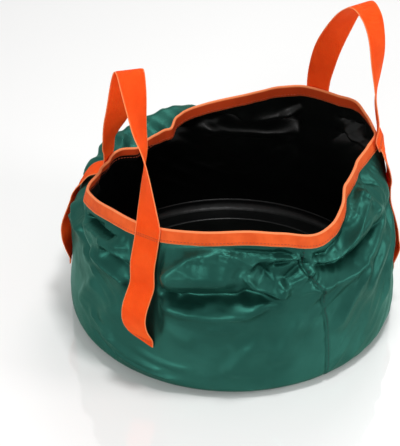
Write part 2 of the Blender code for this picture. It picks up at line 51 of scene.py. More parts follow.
photoView = {
    "azimuth": -26.0,
    "elevation": 34.3,
    "distance": 1.45,
    "aim": (0, 0, 0.075),
    "aimRight": -0.0300,  # metres, puts the bucket where it stands in the picture
    "aimUp": 0.0066,
    "lens": 124.85,
    "sensor": 36,
}
light = {
    "sky": (1, 1, 0.995, 1),
    "skyPower": 0.34,
    "aim": (0, 0, 0.08),
    "lamps": {
        "top": {"at": (0.04, -0.28, 1.5), "size": 0.24, "power": 9.6},
        "left": {"at": (-1.15, -0.80, 0.55), "size": 0.4, "power": 7.8},
        "right": {"at": (1.05, -0.85, 0.6), "size": 0.4, "power": 6.2},
        "back": {"at": (0.60, 0.75, 1.2), "size": 0.6, "power": 5.5},
    },
}
floorLook = {
    "radius": 6.0,
    "sides": 96,
    "sunk": 0.0004,
    "surface": {"Base Color": (0.96, 0.96, 0.955, 1), "Roughness": 0.06, "Specular IOR Level": 0.8},
}


def addCamera():
    azimuth = math.radians(photoView["azimuth"])
    elevation = math.radians(photoView["elevation"])
    back = Vector((
        math.sin(azimuth) * math.cos(elevation),
        -math.cos(azimuth) * math.cos(elevation),
        math.sin(elevation),
    ))
    right = Vector((math.cos(azimuth), math.sin(azimuth), 0))
    up = back.cross(right)
    camera = bpy.data.objects.new("camera", bpy.data.cameras.new("camera"))
    camera.data.lens = photoView["lens"]
    camera.data.sensor_width = photoView["sensor"]
    camera.location = Vector(photoView["aim"]) + back * photoView["distance"]
    target = Vector(photoView["aim"]) + right * photoView["aimRight"] + up * photoView["aimUp"]
    camera.rotation_euler = (target - camera.location).to_track_quat("-Z", "Y").to_euler()
    scene.collection.objects.link(camera)
    scene.camera = camera


def addLamp(name, settings):
    lamp = bpy.data.lights.new(name, "AREA")
    lamp.size = settings["size"]
    lamp.energy = settings["power"]
    holder = bpy.data.objects.new(name, lamp)
    holder.location = settings["at"]
    aim = Vector(light["aim"]) - holder.location
    holder.rotation_euler = aim.to_track_quat("-Z", "Y").to_euler()
    scene.collection.objects.link(holder)


def addSky():  # the camera, reflections and what lies behind glass see it white, at full strength
    world = bpy.data.worlds.new("studio")
    scene.world = world
    world.use_nodes = True
    nodes, links = world.node_tree.nodes, world.node_tree.links
    background = nodes["Background"]
    background.inputs["Color"].default_value = light["sky"]
    path = nodes.new("ShaderNodeLightPath")
    seen = path.outputs["Is Camera Ray"]
    for name in ("Is Glossy Ray", "Is Transmission Ray"):
        either = nodes.new("ShaderNodeMath")
        either.operation = "MAXIMUM"
        links.new(seen, either.inputs[0])
        links.new(path.outputs[name], either.inputs[1])
        seen = either.outputs[0]
    strength = nodes.new("ShaderNodeMapRange")
    strength.inputs["To Min"].default_value = light["skyPower"]
    strength.inputs["To Max"].default_value = 1.0
    links.new(seen, strength.inputs["Value"])
    links.new(strength.outputs["Result"], background.inputs["Strength"])


def addFloor():
    floor = bmesh.new()
    bmesh.ops.create_circle(floor, cap_ends=True, segments=floorLook["sides"], radius=floorLook["radius"])
    mesh = bpy.data.meshes.new("floor")
    floor.to_mesh(mesh)
    floor.free()
    stage = bpy.data.objects.new("floor", mesh)
    stage.location.z = -floorLook["sunk"]
    scene.collection.objects.link(stage)
    material = bpy.data.materials.new("floor")
    material.use_nodes = True
    for socket, value in floorLook["surface"].items():
        material.node_tree.nodes["Principled BSDF"].inputs[socket].default_value = value
    mesh.materials.append(material)


scene.view_settings.view_transform = "Standard"
addCamera()
addSky()
for name, settings in light["lamps"].items():
    addLamp(name, settings)
addFloor()
print("camera, lamps and floor ready")

# Patches are given as their size, and the noise at which they begin and at which they are full.
# A surface holds the shader's values that are the same all over.
greenCloth = {
    "colour": (0.0118, 0.059, 0.0465),
    # the paler colour: random worn patches, and painted light low on the wall
    "wornAndLitLow": (0.0255, 0.116, 0.091),
    "wornPatches": (0.045, 0.42, 0.9),
    "paintedLowLight": (0.42, 0, 0.045, 0.10),  # painted light: share of the paler colour low down and above, and the heights between them
    "roughness": (0.28, 0.39),
    "roughPatches": 0.012,
    "thread": 0.00042,  # spacing of the weave
    "threadDepth": 0.00003,
    "dimples": 0.006,
    "dimpleDetail": 4.0,
    "dimpleDepth": 0.00016,
    "creases": 0.05,
    "creaseDetail": 4.0,
    "creaseStretch": (1, 1, 1.8),
    "creaseDepth": 0.0011,
    "surface": {"Specular IOR Level": 0.25, "Specular Tint": (0.15, 0.66, 0.53, 1), "Metallic": 0.6},
}
linerFilm = {
    "colour": (0.0024, 0.0030, 0.0027),
    "lighter": 1.8,  # times the colour, in the paler patches
    "patches": (0.03, 0.4, 0.9),
    "roughness": 0.34,
    "roughRange": (-0.05, 0.08),
    "roughPatches": 0.02,
    "dimples": 0.011,
    "dimpleDepth": 0.0004,
    "creases": 0.06,
    "creaseStretch": (1, 1, 0.35),
    "creaseDepth": 0.0006,
    "surface": {"Specular IOR Level": 0.16},
}
seamTapeFilm = {"colour": (0.0045, 0.005, 0.005), "roughness": 0.3}  # the rest is as on the liner
webbing = {
    "colour": (0.92, 0.089, 0.012),
    "shade": (0.82, 0.069, 0.009),
    "patches": (0.02, 0.3, 0.62),
    "edge": (0.96, 0.25, 0.10),
    "selvedge": (0, 1, 0.0113, 0.0125),  # share of the edge's colour, and how far from the middle it begins
    "rib": 0.0012,  # spacing of the ribs that run across
    "cord": 0.0016,  # spacing of the warp cords
    "weaveDepth": 0.00010,
    "roughness": (0.66, 0.8),
    "roughPatches": 0.009,
    "surface": {  # light comes through the weave
        "Specular IOR Level": 0.06,
        "Specular Tint": (1, 0.4, 0.2, 1),
        "Subsurface Weight": 0.45,
        "Subsurface Radius": (1.0, 0.32, 0.12),
        "Subsurface Scale": 0.004,
    },
}
bindingTape = {
    "colour": (0.80, 0.116, 0.024),
    "shade": (0.68, 0.085, 0.016),
    "patches": (0.012, 0.3, 0.6),
    # painted highlight colour along the tape's fold and both its edges
    "edge": (0.94, 0.30, 0.12),
    # painted shade: the inner face of the tape is coloured darker
    "inside": (0.56, 0.056, 0.012),
    # over the width: 0 at the outer edge of the tape, 1 along its fold, 2 at the inner edge
    "innerShadeShare": (0, 1, 1.01, 1.1),
    "outerHighlight": (1, 0, 0.0, 0.07),
    "innerHighlight": (0, 0.6, 1.9, 2.0),
    "foldHighlight": (0.8, 0, 0, 0.04),
    "rib": 0.0008,
    "slubs": 0.004,
    "ribDepth": 0.00010,
    "roughness": (0.58, 0.74),
    "roughPatches": 0.007,
    "surface": {"Specular IOR Level": 0.15, "Specular Tint": (1, 0.6, 0.4, 1)},
}
sewingThread = {
    "orange": (0.42, 0.048, 0.011),
    # partly painted shade: the seam thread is near-black so that it stands for the shadow in the seam's
    # groove
    "green": (0.003, 0.010, 0.008),
    "darker": 0.8,
    "patches": (0.004, 0.3, 0.7),
    "twist": 0.0006,
    "twistDepth": 0.0001,
    "surface": {"Roughness": 0.5},
}


class Shades:
    def __init__(self, name, surface):
        self.material = bpy.data.materials.new(name)
        self.material.use_nodes = True
        self.nodes = self.material.node_tree.nodes
        self.links = self.material.node_tree.links
        self.shader = self.nodes["Principled BSDF"]
        for socket, value in surface.items():
            self.shader.inputs[socket].default_value = value
        place = self.nodes.new("ShaderNodeTexCoord")
        self.solid = place.outputs["Object"]
        self.cloth = place.outputs["UV"]  # metres along and across the cloth

    def join(self, source, target):
        self.links.new(source, target)

    def finished(self, colour, normal, roughness=None):
        self.join(colour, self.shader.inputs["Base Color"])
        self.join(normal, self.shader.inputs["Normal"])
        if roughness is not None:
            self.join(roughness, self.shader.inputs["Roughness"])
        return self.material


def spread(made, value, low, high, start=0.0, end=1.0):
    node = made.nodes.new("ShaderNodeMapRange")
    for name, given in (("From Min", start), ("From Max", end), ("To Min", low), ("To Max", high)):
        node.inputs[name].default_value = given
    made.join(value, node.inputs["Value"])
    return node.outputs["Result"]


def tones(made, share, low, high):
    mix = made.nodes.new("ShaderNodeMix")
    mix.data_type = "RGBA"
    made.join(share, mix.inputs[0])
    for socket, colour in ((mix.inputs[6], low), (mix.inputs[7], high)):
        if isinstance(colour, tuple):
            socket.default_value = (*colour, 1)
        else:
            made.join(colour, socket)
    return mix.outputs[2]


def split(made, vector):
    node = made.nodes.new("ShaderNodeSeparateXYZ")
    made.join(vector, node.inputs[0])
    return node.outputs


def lines(made, spacing, direction):
    wave = made.nodes.new("ShaderNodeTexWave")
    wave.wave_type = "BANDS"
    wave.bands_direction = direction
    wave.inputs["Scale"].default_value = 1 / spacing / 3.1831  # ten over pi, for one band each spacing
    wave.inputs["Distortion"].default_value = 0.0
    made.join(made.cloth, wave.inputs["Vector"])
    return wave.outputs["Fac"]


def combine(made, operation, a, b=0.0):
    node = made.nodes.new("ShaderNodeMath")
    node.operation = operation
    for socket, value in zip(node.inputs, (a, b)):
        if isinstance(value, (int, float)):
            socket.default_value = value
        else:
            made.join(value, socket)
    return node.outputs[0]


def mottle(made, size, detail=3.0, stretch=None, ridged=False):
    found = made.nodes.new("ShaderNodeTexNoise")
    if ridged:
        found.noise_type = "RIDGED_MULTIFRACTAL"
    found.inputs["Scale"].default_value = 1 / size
    found.inputs["Detail"].default_value = detail
    vector = made.solid
    if stretch:
        mapping = made.nodes.new("ShaderNodeMapping")
        mapping.inputs["Scale"].default_value = stretch
        made.join(vector, mapping.inputs["Vector"])
        vector = mapping.outputs["Vector"]
    made.join(vector, found.inputs["Vector"])
    return found.outputs["Fac"]


def patches(made, size, start, end):
    return spread(made, mottle(made, size), 0, 1, start, end)


def bumps(made, height, distance, under=None):
    bump = made.nodes.new("ShaderNodeBump")
    bump.inputs["Distance"].default_value = distance
    made.join(height, bump.inputs["Height"])
    if under is not None:
        made.join(under, bump.inputs["Normal"])
    return bump.outputs["Normal"]


def makeGreenCloth():
    look = greenCloth
    made = Shades("green coated cloth", look["surface"])
    # painted light: the cloth's colour turns paler low on the wall
    low = spread(made, split(made, made.solid)["Z"], *look["paintedLowLight"])
    wornAndLitLow = combine(made, "ADD", patches(made, *look["wornPatches"]), low)
    weave = combine(made, "MULTIPLY", lines(made, look["thread"], "X"), lines(made, look["thread"], "Y"))
    soft = bumps(made, mottle(made, look["dimples"], look["dimpleDetail"]), look["dimpleDepth"])
    creases = mottle(made, look["creases"], look["creaseDetail"], look["creaseStretch"], True)
    creased = bumps(made, creases, look["creaseDepth"], soft)
    return made.finished(
        tones(made, wornAndLitLow, look["colour"], look["wornAndLitLow"]),
        bumps(made, weave, look["threadDepth"], creased),
        spread(made, mottle(made, look["roughPatches"]), *look["roughness"]),
    )


def makeFilm(name, colour, roughness):
    look = linerFilm
    made = Shades(name, look["surface"])
    lighter = tuple(v * look["lighter"] for v in colour)
    soft = bumps(made, mottle(made, look["dimples"]), look["dimpleDepth"])
    creases = mottle(made, look["creases"], 3.0, look["creaseStretch"], True)
    low, high = (roughness + change for change in look["roughRange"])
    return made.finished(
        tones(made, patches(made, *look["patches"]), colour, lighter),
        bumps(made, creases, look["creaseDepth"], soft),
        spread(made, mottle(made, look["roughPatches"]), low, high),
    )


def makeWebbing():
    look = webbing
    made = Shades("orange webbing", look["surface"])
    tone = tones(made, patches(made, *look["patches"]), look["shade"], look["colour"])
    fromMiddle = combine(made, "ABSOLUTE", split(made, made.cloth)["Y"])
    weave = combine(made, "ADD", lines(made, look["rib"], "X"), lines(made, look["cord"], "Y"))
    return made.finished(
        tones(made, spread(made, fromMiddle, *look["selvedge"]), tone, look["edge"]),
        bumps(made, weave, look["weaveDepth"]),
        spread(made, mottle(made, look["roughPatches"]), *look["roughness"]),
    )


def makeBindingTape():
    look = bindingTape
    made = Shades("orange binding tape", look["surface"])
    tone = tones(made, patches(made, *look["patches"]), look["shade"], look["colour"])
    across = split(made, made.cloth)["Y"]
    # painted shade on the inner face of the tape
    tone = tones(made, spread(made, across, *look["innerShadeShare"]), tone, look["inside"])
    fromFold = combine(made, "ABSOLUTE", combine(made, "SUBTRACT", across, 1.0))
    # painted highlight along the tape's edges and along its fold
    paintedHighlight = spread(made, across, *look["outerHighlight"])
    paintedHighlight = combine(made, "MAXIMUM", paintedHighlight, spread(made, across, *look["innerHighlight"]))
    paintedHighlight = combine(made, "MAXIMUM", paintedHighlight, spread(made, fromFold, *look["foldHighlight"]))
    ribs = combine(made, "ADD", lines(made, look["rib"], "X"), mottle(made, look["slubs"], 2.0))
    return made.finished(
        tones(made, paintedHighlight, tone, look["edge"]),
        bumps(made, ribs, look["ribDepth"]),
        spread(made, mottle(made, look["roughPatches"]), *look["roughness"]),
    )


def makeThread(name, colour):
    look = sewingThread
    made = Shades(name, look["surface"])
    darker = tuple(v * look["darker"] for v in colour)
    return made.finished(
        tones(made, patches(made, *look["patches"]), darker, colour),
        bumps(made, mottle(made, look["twist"], 1.0), look["twistDepth"]),
    )


greenMaterial = makeGreenCloth()
linerMaterial = makeFilm("black liner film", linerFilm["colour"], linerFilm["roughness"])
tapeMaterial = makeFilm("black seam tape", seamTapeFilm["colour"], seamTapeFilm["roughness"])
webbingMaterial = makeWebbing()
bindingMaterial = makeBindingTape()
threadMaterial = makeThread("orange sewing thread", sewingThread["orange"])
seamThreadMaterial = makeThread("green sewing thread", sewingThread["green"])
print("materials ready")

wall = {
    "baseRadius": 141,  # millimetres
    "swell": 12,
    "swellHeight": 26,
    "swellPower": 6,
    "lean": 0.11,
    "turnHeight": 99,  # the wall starts to close in to the rim here
    "cloth": 0.55,
    "linerGap": 0.2,
    "liner": 0.4,
    "front": (-190, -15),  # bearings between which the grid is finer, for the folds that the photograph shows
    "frontColumns": 300,
    "backColumns": 180,
    "lowRows": 48,
    "topRows": 48,
    "girth": 0.15,  # metres, the radius at which lengths round the wall are measured
}
layers = wall["cloth"] + wall["linerGap"] + wall["liner"]
rim = {
    "radius": 135,
    "height": 158,
    # bearing, millimetres pushed in, millimetres lifted, inward lean of the binding in degrees, and how
    # far the cloth below it stands out in a shoulder
    "stations": (
        (-178, -1.5, -7.5, 15, 0), (-165, 0, -3, 15, 0), (-150, -0.5, -1, 14, 0), (-128, 0, 5, 14, 0),
        (-112, 1, 7.5, 14, 0), (-98, 1, 2, 14, 0), (-83, 0, -7.5, 14, 0), (-76, 2, -5.5, 12, 0),
        (-67, 9, 1, 10, 0.2), (-55, 21, 6.5, 8, 0.5), (-38, 22, 8, 8, 0.6), (-23, 12, 8, 14, 0.3),
        (-13, 1, 10, 24, 0), (-3, 1, 15, 24, 0), (6, -1, 17, 18, 0), (17, 0, 12.5, 14, 0),
        (33, -0.5, 8.5, 12, 0), (43.5, 7, 5.5, 10, 0.1), (52, 9.5, -1, 10, 0.2), (61, 13, -6, 8, 0.3),
        (79, 17, -12, 5, 0.6), (89, 21, -14, 4, 0.95), (97, 28, -20.5, 2, 1), (110, 29, -24, 2, 1),
        (124, 30, -24, 3, 0.8), (134, 22, -18.5, 10, 0.35), (156, 14, -15, 15, 0.2),
        (168, 2, -12, 15, 0.1), (174, -2, -10, 15, 0),
    ),
    "edgeDrop": 1.0,  # the cloth's edge below the top of the binding
    "straight": 13.3,  # depth of the strip under the binding
    "tapeWidth": 11.4,
    "tapeGauge": 0.5,
    "seat": 0.2,
    "innerCrush": 0.42,  # share of the inner half that is turned under at the crumpled side
    "crushed": (104, 118, 166, 176),  # bearings at which that begins, is full, fades and ends
    "ripple": 0.4,
    "ripples": ((14, 2.2, 1.0), (40, 7.2, 0.6)),  # fineness, seed and share of its noise
    "columns": 900,
    "legRows": 8,
    "foldRows": 7,
    "girth": 0.13,  # metres, the radius at which lengths along the tape are measured
}
# Small kinks of the slack rim: bearing, half width in degrees, millimetres pushed in, millimetres lifted
rimKinks = (
    (95, 3.0, -2.0, 2.5), (99, 2.5, 2.0, -1.5), (112, 3.0, 1.5, 1.5), (118, 3.0, -1.5, -1.0),
    (127, 3.5, 2.5, 1.0), (136, 3.0, -2.0, -1.5), (147, 3.0, 1.8, 0.8), (153, 3.0, -1.6, -0.8),
    (163, 3.5, 1.6, 0.8),
)


def awayFrom(bearings, start):  # degrees, from -180 to 180
    return (bearings - start + 180) % 360 - 180


def roundTheRim(bearings, column):  # smooth through the stations, without overshoot
    at = np.array([row[0] for row in rim["stations"]], float)
    value = np.array([row[column] for row in rim["stations"]], float)
    count = len(at)
    span = (np.roll(at, -1) - at) % 360
    rise = (np.roll(value, -1) - value) / span
    before, after, riseIn, riseOut = np.roll(span, 1), span, np.roll(rise, 1), rise
    flat = riseIn * riseOut <= 0
    riseIn, riseOut = np.where(flat, 1, riseIn), np.where(flat, 1, riseOut)
    slope = 3 * (before + after) / ((2 * after + before) / riseIn + (after + 2 * before) / riseOut)
    slope = np.where(flat, 0, slope)
    turned = (np.asarray(bearings, float) - at[0]) % 360
    i = np.clip(np.searchsorted(at - at[0], turned + 1e-9) - 1, 0, count - 1)
    j = (i + 1) % count
    t = (turned - (at[i] - at[0])) / span[i]
    found = (
        (1 + 2 * t) * (1 - t) ** 2 * value[i] + t * (1 - t) ** 2 * span[i] * slope[i]
        + t * t * (3 - 2 * t) * value[j] - t * t * (1 - t) * span[i] * slope[j]
    )
    for kink in rimKinks if column < 3 else ():
        away = awayFrom(np.asarray(bearings, float), kink[0])
        found = found + kink[column + 1] * np.exp(-((away / kink[1]) ** 2))
    return found


def wallRadius(height):
    turn = np.clip(1 - height / wall["swellHeight"], 0, 1) ** wall["swellPower"]
    low = wall["baseRadius"] + wall["swell"] * (1 - turn)
    high = wall["baseRadius"] + wall["swell"] - wall["lean"] * (height - wall["swellHeight"])
    return np.where(height < wall["swellHeight"], low, high)


shoulder = {
    "startPull": 0.5,  # share of the rise over which the wall still climbs straight
    "endPull": 0.45,
    "climb": 56,  # the same in a full shoulder, in millimetres
    "reach": 29,
    "way": (0.96, -0.28),  # direction in which a full shoulder leaves the binding
    "swell": 2,
    "bulge": 1.5,  # most that the cloth below the rim may stand out past the wall
}


def stripEnds(bearings):  # foot and top of the strip that the binding covers
    lean = np.radians(roundTheRim(bearings, 3))
    topRadius = rim["radius"] - roundTheRim(bearings, 1)
    topHeight = rim["height"] + roundTheRim(bearings, 2) - rim["edgeDrop"]
    run = rim["straight"]
    return topRadius + np.sin(lean) * run, topHeight - np.cos(lean) * run, topRadius, topHeight


def wallProfiles(bearings, lowRows, topRows, stripRows=8):  # radius and height, rows from floor to rim
    bearings = np.asarray(bearings, float)
    share = np.linspace(0, 1, lowRows)
    heights = wall["turnHeight"] * (0.30 * share**2.6 + 0.70 * share)  # rows lie closer near the floor
    lowRadius = np.repeat(wallRadius(heights)[:, None], len(bearings), 1)
    lowHeight = np.repeat(heights[:, None], len(bearings), 1)
    start = float(wallRadius(np.array(float(wall["turnHeight"]))))
    footRadius, footHeight, topRadius, topHeight = stripEnds(bearings)
    lean = np.radians(roundTheRim(bearings, 3))
    out = roundTheRim(bearings, 4)
    rise = footHeight - wall["turnHeight"]
    climb = shoulder["startPull"] * rise * (1 - out) + shoulder["climb"] * out
    reach = shoulder["endPull"] * rise * (1 - out) + shoulder["reach"] * out
    wayOut = (1 - out) * np.sin(lean) + out * shoulder["way"][0]
    wayUp = -(1 - out) * np.cos(lean) + out * shoulder["way"][1]
    size = np.hypot(wayOut, wayUp)
    bulge = np.minimum(footRadius + wayOut / size * reach, start + shoulder["bulge"])
    bends = (
        (start + shoulder["swell"] * out, wall["turnHeight"] + climb),
        (bulge, footHeight + wayUp / size * reach),
    )
    t = np.linspace(0, 1, topRows + 1)[1:, None]
    upRadius, upHeight = (
        (1 - t) ** 3 * a + 3 * t * (1 - t) ** 2 * b + 3 * t * t * (1 - t) * c + t**3 * d
        for a, b, c, d in (
            (start, bends[0][0], bends[1][0], footRadius),
            (wall["turnHeight"], bends[0][1], bends[1][1], footHeight),
        )
    )
    t = np.linspace(0, 1, stripRows + 1)[1:, None]
    edgeRadius = footRadius + t * (topRadius - footRadius)
    edgeHeight = footHeight + t * (topHeight - footHeight)
    return np.vstack((lowRadius, upRadius, edgeRadius)), np.vstack((lowHeight, upHeight, edgeHeight))


def spun(bearings, radius, height):
    angle = np.radians(bearings)
    return np.stack((radius * np.cos(angle), radius * np.sin(angle), height), -1)


def gridNormals(points):  # of points that run up in rows and round in columns
    side = (np.roll(points, -1, 1) - np.roll(points, 1, 1)) / 2
    normal = np.cross(side, np.gradient(points, axis=0))
    return normal / np.linalg.norm(normal, axis=-1, keepdims=True)


def smoothStep(x):
    x = np.clip(x, 0, 1)
    return x * x * (3 - 2 * x)


# Folds of the slack cloth. Each one: its line as (bearing, height in millimetres) from left to right, its
# rise, and how far it falls off above and below. A fold with "soft" is a rounded roll or hollow.
folds = (
    # left of the left strap
    (((-184, 127), (-177, 130), (-170, 132), (-164, 133), (-159, 137)), -3.4, 2.4, 2.6, "sharp"),
    (((-185, 120), (-174, 125), (-168, 127), (-162, 129), (-153, 130)), 2.2, 2.5, 6, "sharp"),
    (((-169, 138), (-164, 138), (-160, 136)), 1.4, 2, 3, "sharp"),
    (((-186, 114), (-181, 105), (-176, 101), (-171, 97)), -2.0, 3, 3, "sharp"),
    (((-174, 112), (-165, 106), (-158, 101), (-151, 94)), 2.8, 3, 8, "sharp"),
    (((-167, 118), (-157, 114), (-150, 107)), -2.4, 3, 3, "sharp"),
    (((-169, 125), (-158, 122), (-150, 118)), 1.7, 3, 3, "sharp"),
    (((-184, 97), (-176, 90), (-166, 86)), 0.9, 2, 5, "sharp"),
    # the bright roll right of it and the hollow below
    (((-142, 115), (-138, 124), (-134, 134), (-130, 142), (-126, 147), (-120, 151)), 2.8, 2.2, 10, "sharp"),
    (((-142, 119), (-130, 125), (-112, 127)), 4.4, 12, 9, "soft"),
    (((-141, 117), (-138, 111), (-136, 106), (-132, 98)), 1.6, 6, 2.5, "sharp"),
    (((-145, 103), (-134, 101), (-128, 101), (-122, 103), (-113, 104), (-104, 101)), -4.2, 4, 4, "soft"),
    (
        ((-145, 95), (-139, 91), (-134, 89), (-130, 88), (-124, 88), (-119, 89), (-112, 91), (-103, 95)),
        3.4, 2, 13, "sharp",
    ),
    (((-141, 96), (-134, 94), (-130, 91), (-126, 94), (-120, 98)), 1.5, 1.6, 2, "sharp"),
    (((-120, 96), (-112, 97), (-108, 98), (-102, 98), (-96, 94)), 2.4, 5, 6, "soft"),
    (((-114, 109), (-106, 106), (-102, 101), (-97, 94)), -3.6, 5, 4, "soft"),
    # gathers under the front binding
    (((-125, 151), (-120, 149), (-115, 144)), 1.6, 2, 3, "sharp"),
    (((-120, 150), (-108, 147), (-102, 144), (-95, 139)), -1.8, 1.5, 2, "sharp"),
    (((-118, 147), (-114, 143), (-109, 136), (-106, 139), (-101, 141)), 1.7, 2, 5, "sharp"),
    (((-101, 147), (-97, 142), (-93, 136)), -1.6, 1.5, 2, "sharp"),
    (((-104, 135), (-101, 139), (-98, 138), (-94, 135), (-88, 132)), 2.4, 2, 2, "sharp"),
    (((-103, 134), (-98, 132), (-94, 132), (-88, 131)), -2.2, 1.6, 2, "sharp"),
    # the two V folds beside the seam
    (((-109, 139), (-105, 130), (-102, 121), (-98.5, 112)), -3.0, 4, 6, "sharp"),
    (((-99, 113), (-95, 121), (-92, 125), (-87, 128)), -2.4, 5, 5, "sharp"),
    (
        ((-104, 128), (-100, 116), (-98, 112), (-96, 113), (-93, 116), (-88, 120), (-83, 122)),
        2.6, 3, 5, "sharp",
    ),
    (((-114, 132), (-110, 123), (-108, 116), (-104, 111), (-100, 106), (-95, 105)), 3.2, 3, 4, "sharp"),
    # the nested folds that sweep up to the right
    (
        (
            (-98, 105), (-90, 105), (-84, 104), (-77, 103), (-68, 104), (-64, 106), (-58, 113), (-51, 121),
            (-42, 129),
        ),
        3.0, 3, 13, "sharp",
    ),
    (
        ((-90, 127), (-85, 122), (-80, 118), (-74, 114), (-68, 115), (-62, 119), (-54, 123), (-44, 126)),
        -4.8, 4.5, 5, "sharp",
    ),
    (
        (
            (-88, 132), (-85, 126), (-82, 123), (-78, 122), (-73, 124), (-68, 129), (-60, 135), (-52, 140),
            (-45, 147),
        ),
        3.2, 3, 3, "sharp",
    ),
    (((-88, 138), (-84, 131), (-80, 129), (-74, 132), (-68, 138), (-61, 144)), -2.6, 3, 3, "sharp"),
    (((-68, 139), (-60, 141), (-53, 145), (-45, 150)), 1.9, 2, 4, "sharp"),
    (((-73, 121), (-66, 128), (-59, 131), (-52, 134), (-41, 134)), 2.2, 3, 4, "sharp"),
    (((-38, 150), (-36, 145), (-33, 140)), -1.6, 2, 2, "sharp"),
    (((-43, 151), (-46, 146), (-51, 140)), 1.6, 2, 3, "sharp"),
    # long soft pulls down the right side
    (((-66, 62), (-58, 86), (-50, 99), (-37, 108)), 2.4, 6, 9, "soft"),
    (((-80, 48), (-72, 76), (-60, 106)), 2.2, 5, 8, "soft"),
    (((-50, 34), (-44, 72), (-36, 108), (-28, 125)), 2.2, 5, 7, "soft"),
    (((-34, 40), (-28, 70), (-22, 104)), 2.0, 5, 7, "soft"),
    (((-102, 30), (-97, 56), (-91, 84)), 1.6, 5, 8, "soft"),
    (((-118, 24), (-112, 46), (-104, 66)), 1.4, 5, 9, "soft"),
    (((-168, 40), (-160, 62), (-152, 82)), 1.6, 5, 8, "soft"),
    (((-182, 34), (-176, 60), (-168, 84)), 1.8, 5, 7, "soft"),
    # the hollow beside the right strap
    (((-46, 122), (-34, 116), (-20, 114), (-4, 118)), -2.6, 9, 10, "soft"),
    # shallow creases low on the front
    (((-168, 33), (-152, 25), (-135, 20)), 1.3, 1.5, 3, "sharp"),
    (((-163, 23), (-148, 17), (-130, 15)), 1.2, 1.5, 3, "sharp"),
    (((-153, 36), (-140, 30), (-126, 28)), 0.7, 1.5, 3, "sharp"),
    (((-174, 44), (-166, 37), (-158, 33)), 0.9, 1.6, 3, "sharp"),
    (((-172, 28), (-164, 20), (-155, 15)), -0.8, 1.6, 3, "sharp"),
    (((-118, 58), (-108, 52), (-98, 50)), 0.5, 2.5, 4, "sharp"),
    (((-125, 73), (-118, 75), (-112, 75)), 0.6, 1.3, 2, "sharp"),
    (((-140, 72), (-133, 62), (-127, 57)), 0.9, 4, 6, "soft"),
    (((-104, 82), (-99, 74), (-92, 70)), 0.8, 4, 6, "soft"),
    # the side that the photograph doesn't show, slumped the same way
    (((-14, 142), (-4, 134), (8, 130), (18, 136)), -3.2, 3, 4, "sharp"),
    (((-16, 126), (0, 119), (14, 118), (26, 124)), 2.6, 3, 9, "sharp"),
    (((2, 150), (10, 142), (20, 140)), 1.8, 2, 4, "sharp"),
    (((34, 140), (44, 130), (56, 126), (66, 130)), -3.4, 3, 4, "sharp"),
    (((30, 122), (44, 114), (60, 110), (76, 116)), 3.0, 3, 11, "sharp"),
    (((36, 108), (50, 100), (66, 99), (80, 104)), -4.0, 6, 5, "soft"),
    (((70, 134), (80, 126), (92, 122), (104, 124)), 2.2, 4, 6, "sharp"),
    (((76, 110), (90, 100), (106, 98), (120, 104)), 3.0, 3, 12, "sharp"),
    (((96, 116), (108, 110), (122, 112), (134, 118)), -3.2, 5, 5, "soft"),
    (((112, 128), (122, 120), (134, 118), (142, 124)), 2.4, 3, 5, "sharp"),
    (((126, 100), (138, 94), (150, 93), (164, 98)), 2.6, 3, 10, "sharp"),
    (((150, 128), (160, 122), (170, 121), (178, 126)), -2.8, 3, 4, "sharp"),
    (((156, 112), (168, 108), (178, 108)), 2.2, 3, 7, "sharp"),
    (((20, 70), (30, 84), (44, 90)), 1.2, 6, 8, "soft"),
    (((88, 60), (98, 78), (112, 86)), 1.2, 6, 8, "soft"),
    (((140, 56), (150, 72), (162, 80)), 1.2, 6, 8, "soft"),
)
foldSize = {
    "sharp": 2.9,  # these three scale all of the folds
    "soft": 2.4,
    "width": 1.25,
    "fade": 0.22,  # share of its length over which a fold rises, and dies out
    "crest": (0.8, 0.89),  # the square and the radius by which a sharp crest is rounded off
    "margin": 22,  # degrees beyond its ends in which a fold still counts
    "steepReach": 30,  # the same from the middle of a fold that runs back to the left
}
# Straight pulls: bearings between which they run, their slope in degrees, their height and seed
pulls = (
    ((-96, -12), 42, 2.4, 1.9),
    ((-186, -152), -34, 1.8, 6.3),
    ((-142, -100), -12, 1.1, 4.1),
    ((-8, 60), -38, 2.0, 9.7),
    ((56, 122), 36, 2.0, 12.4),
    ((116, 166), -30, 1.8, 15.2),
)
pullSize = {
    "length": 75,
    "width": 13,
    "low": 0.4,  # share of their rise low on the wall
    "from": 62,
    "over": 40,
    "fade": 12,  # degrees
    "sharpness": 2.4,
}
gathers = {  # small puckers along the binding's stitching
    "spacing": 6.5,
    "height": 1.1,
    "from": 13,  # millimetres below the rim
    "reach": 18,
    "patch": 0.03,  # metres, size of the noise that makes them uneven
    "wander": 1.5,
    "least": 0.6,
}
crumple = {
    "height": 1.5,
    "length": 0.055,
    "fine": 0.6,
    "fineShare": 0.35,  # of the length
    "upright": 1.7,
}
fades = {  # millimetres above the floor or below the rim: where a shape comes in, and over how far
    "crumple": (35, 70),
    "rim": (11.5, 8),
    "floor": (1, 14),
    "looseRim": (12, 6),
    "looseFloor": (12, 45),
}
underStrap = {"kept": 0.35, "pressed": -0.2, "held": 0.97}
sideSeam = {
    "line": (
        (-90, 146), (-90.5, 133), (-90, 124), (-89, 116), (-86.5, 108), (-84.5, 101), (-84, 90), (-83.5, 80),
        (-82.5, 69), (-82, 58), (-82, 46), (-82, 32), (-82, 14), (-82, 1),
    ),
    "step": 0.7,  # millimetres that the lapping cloth stands over the other
    "stepEdge": 1.2,
    "stepFade": 7,
    "groove": 2.2,
    "grooveWidth": 1.3,
}
alongPerDegree = 2.55  # millimetres round the wall


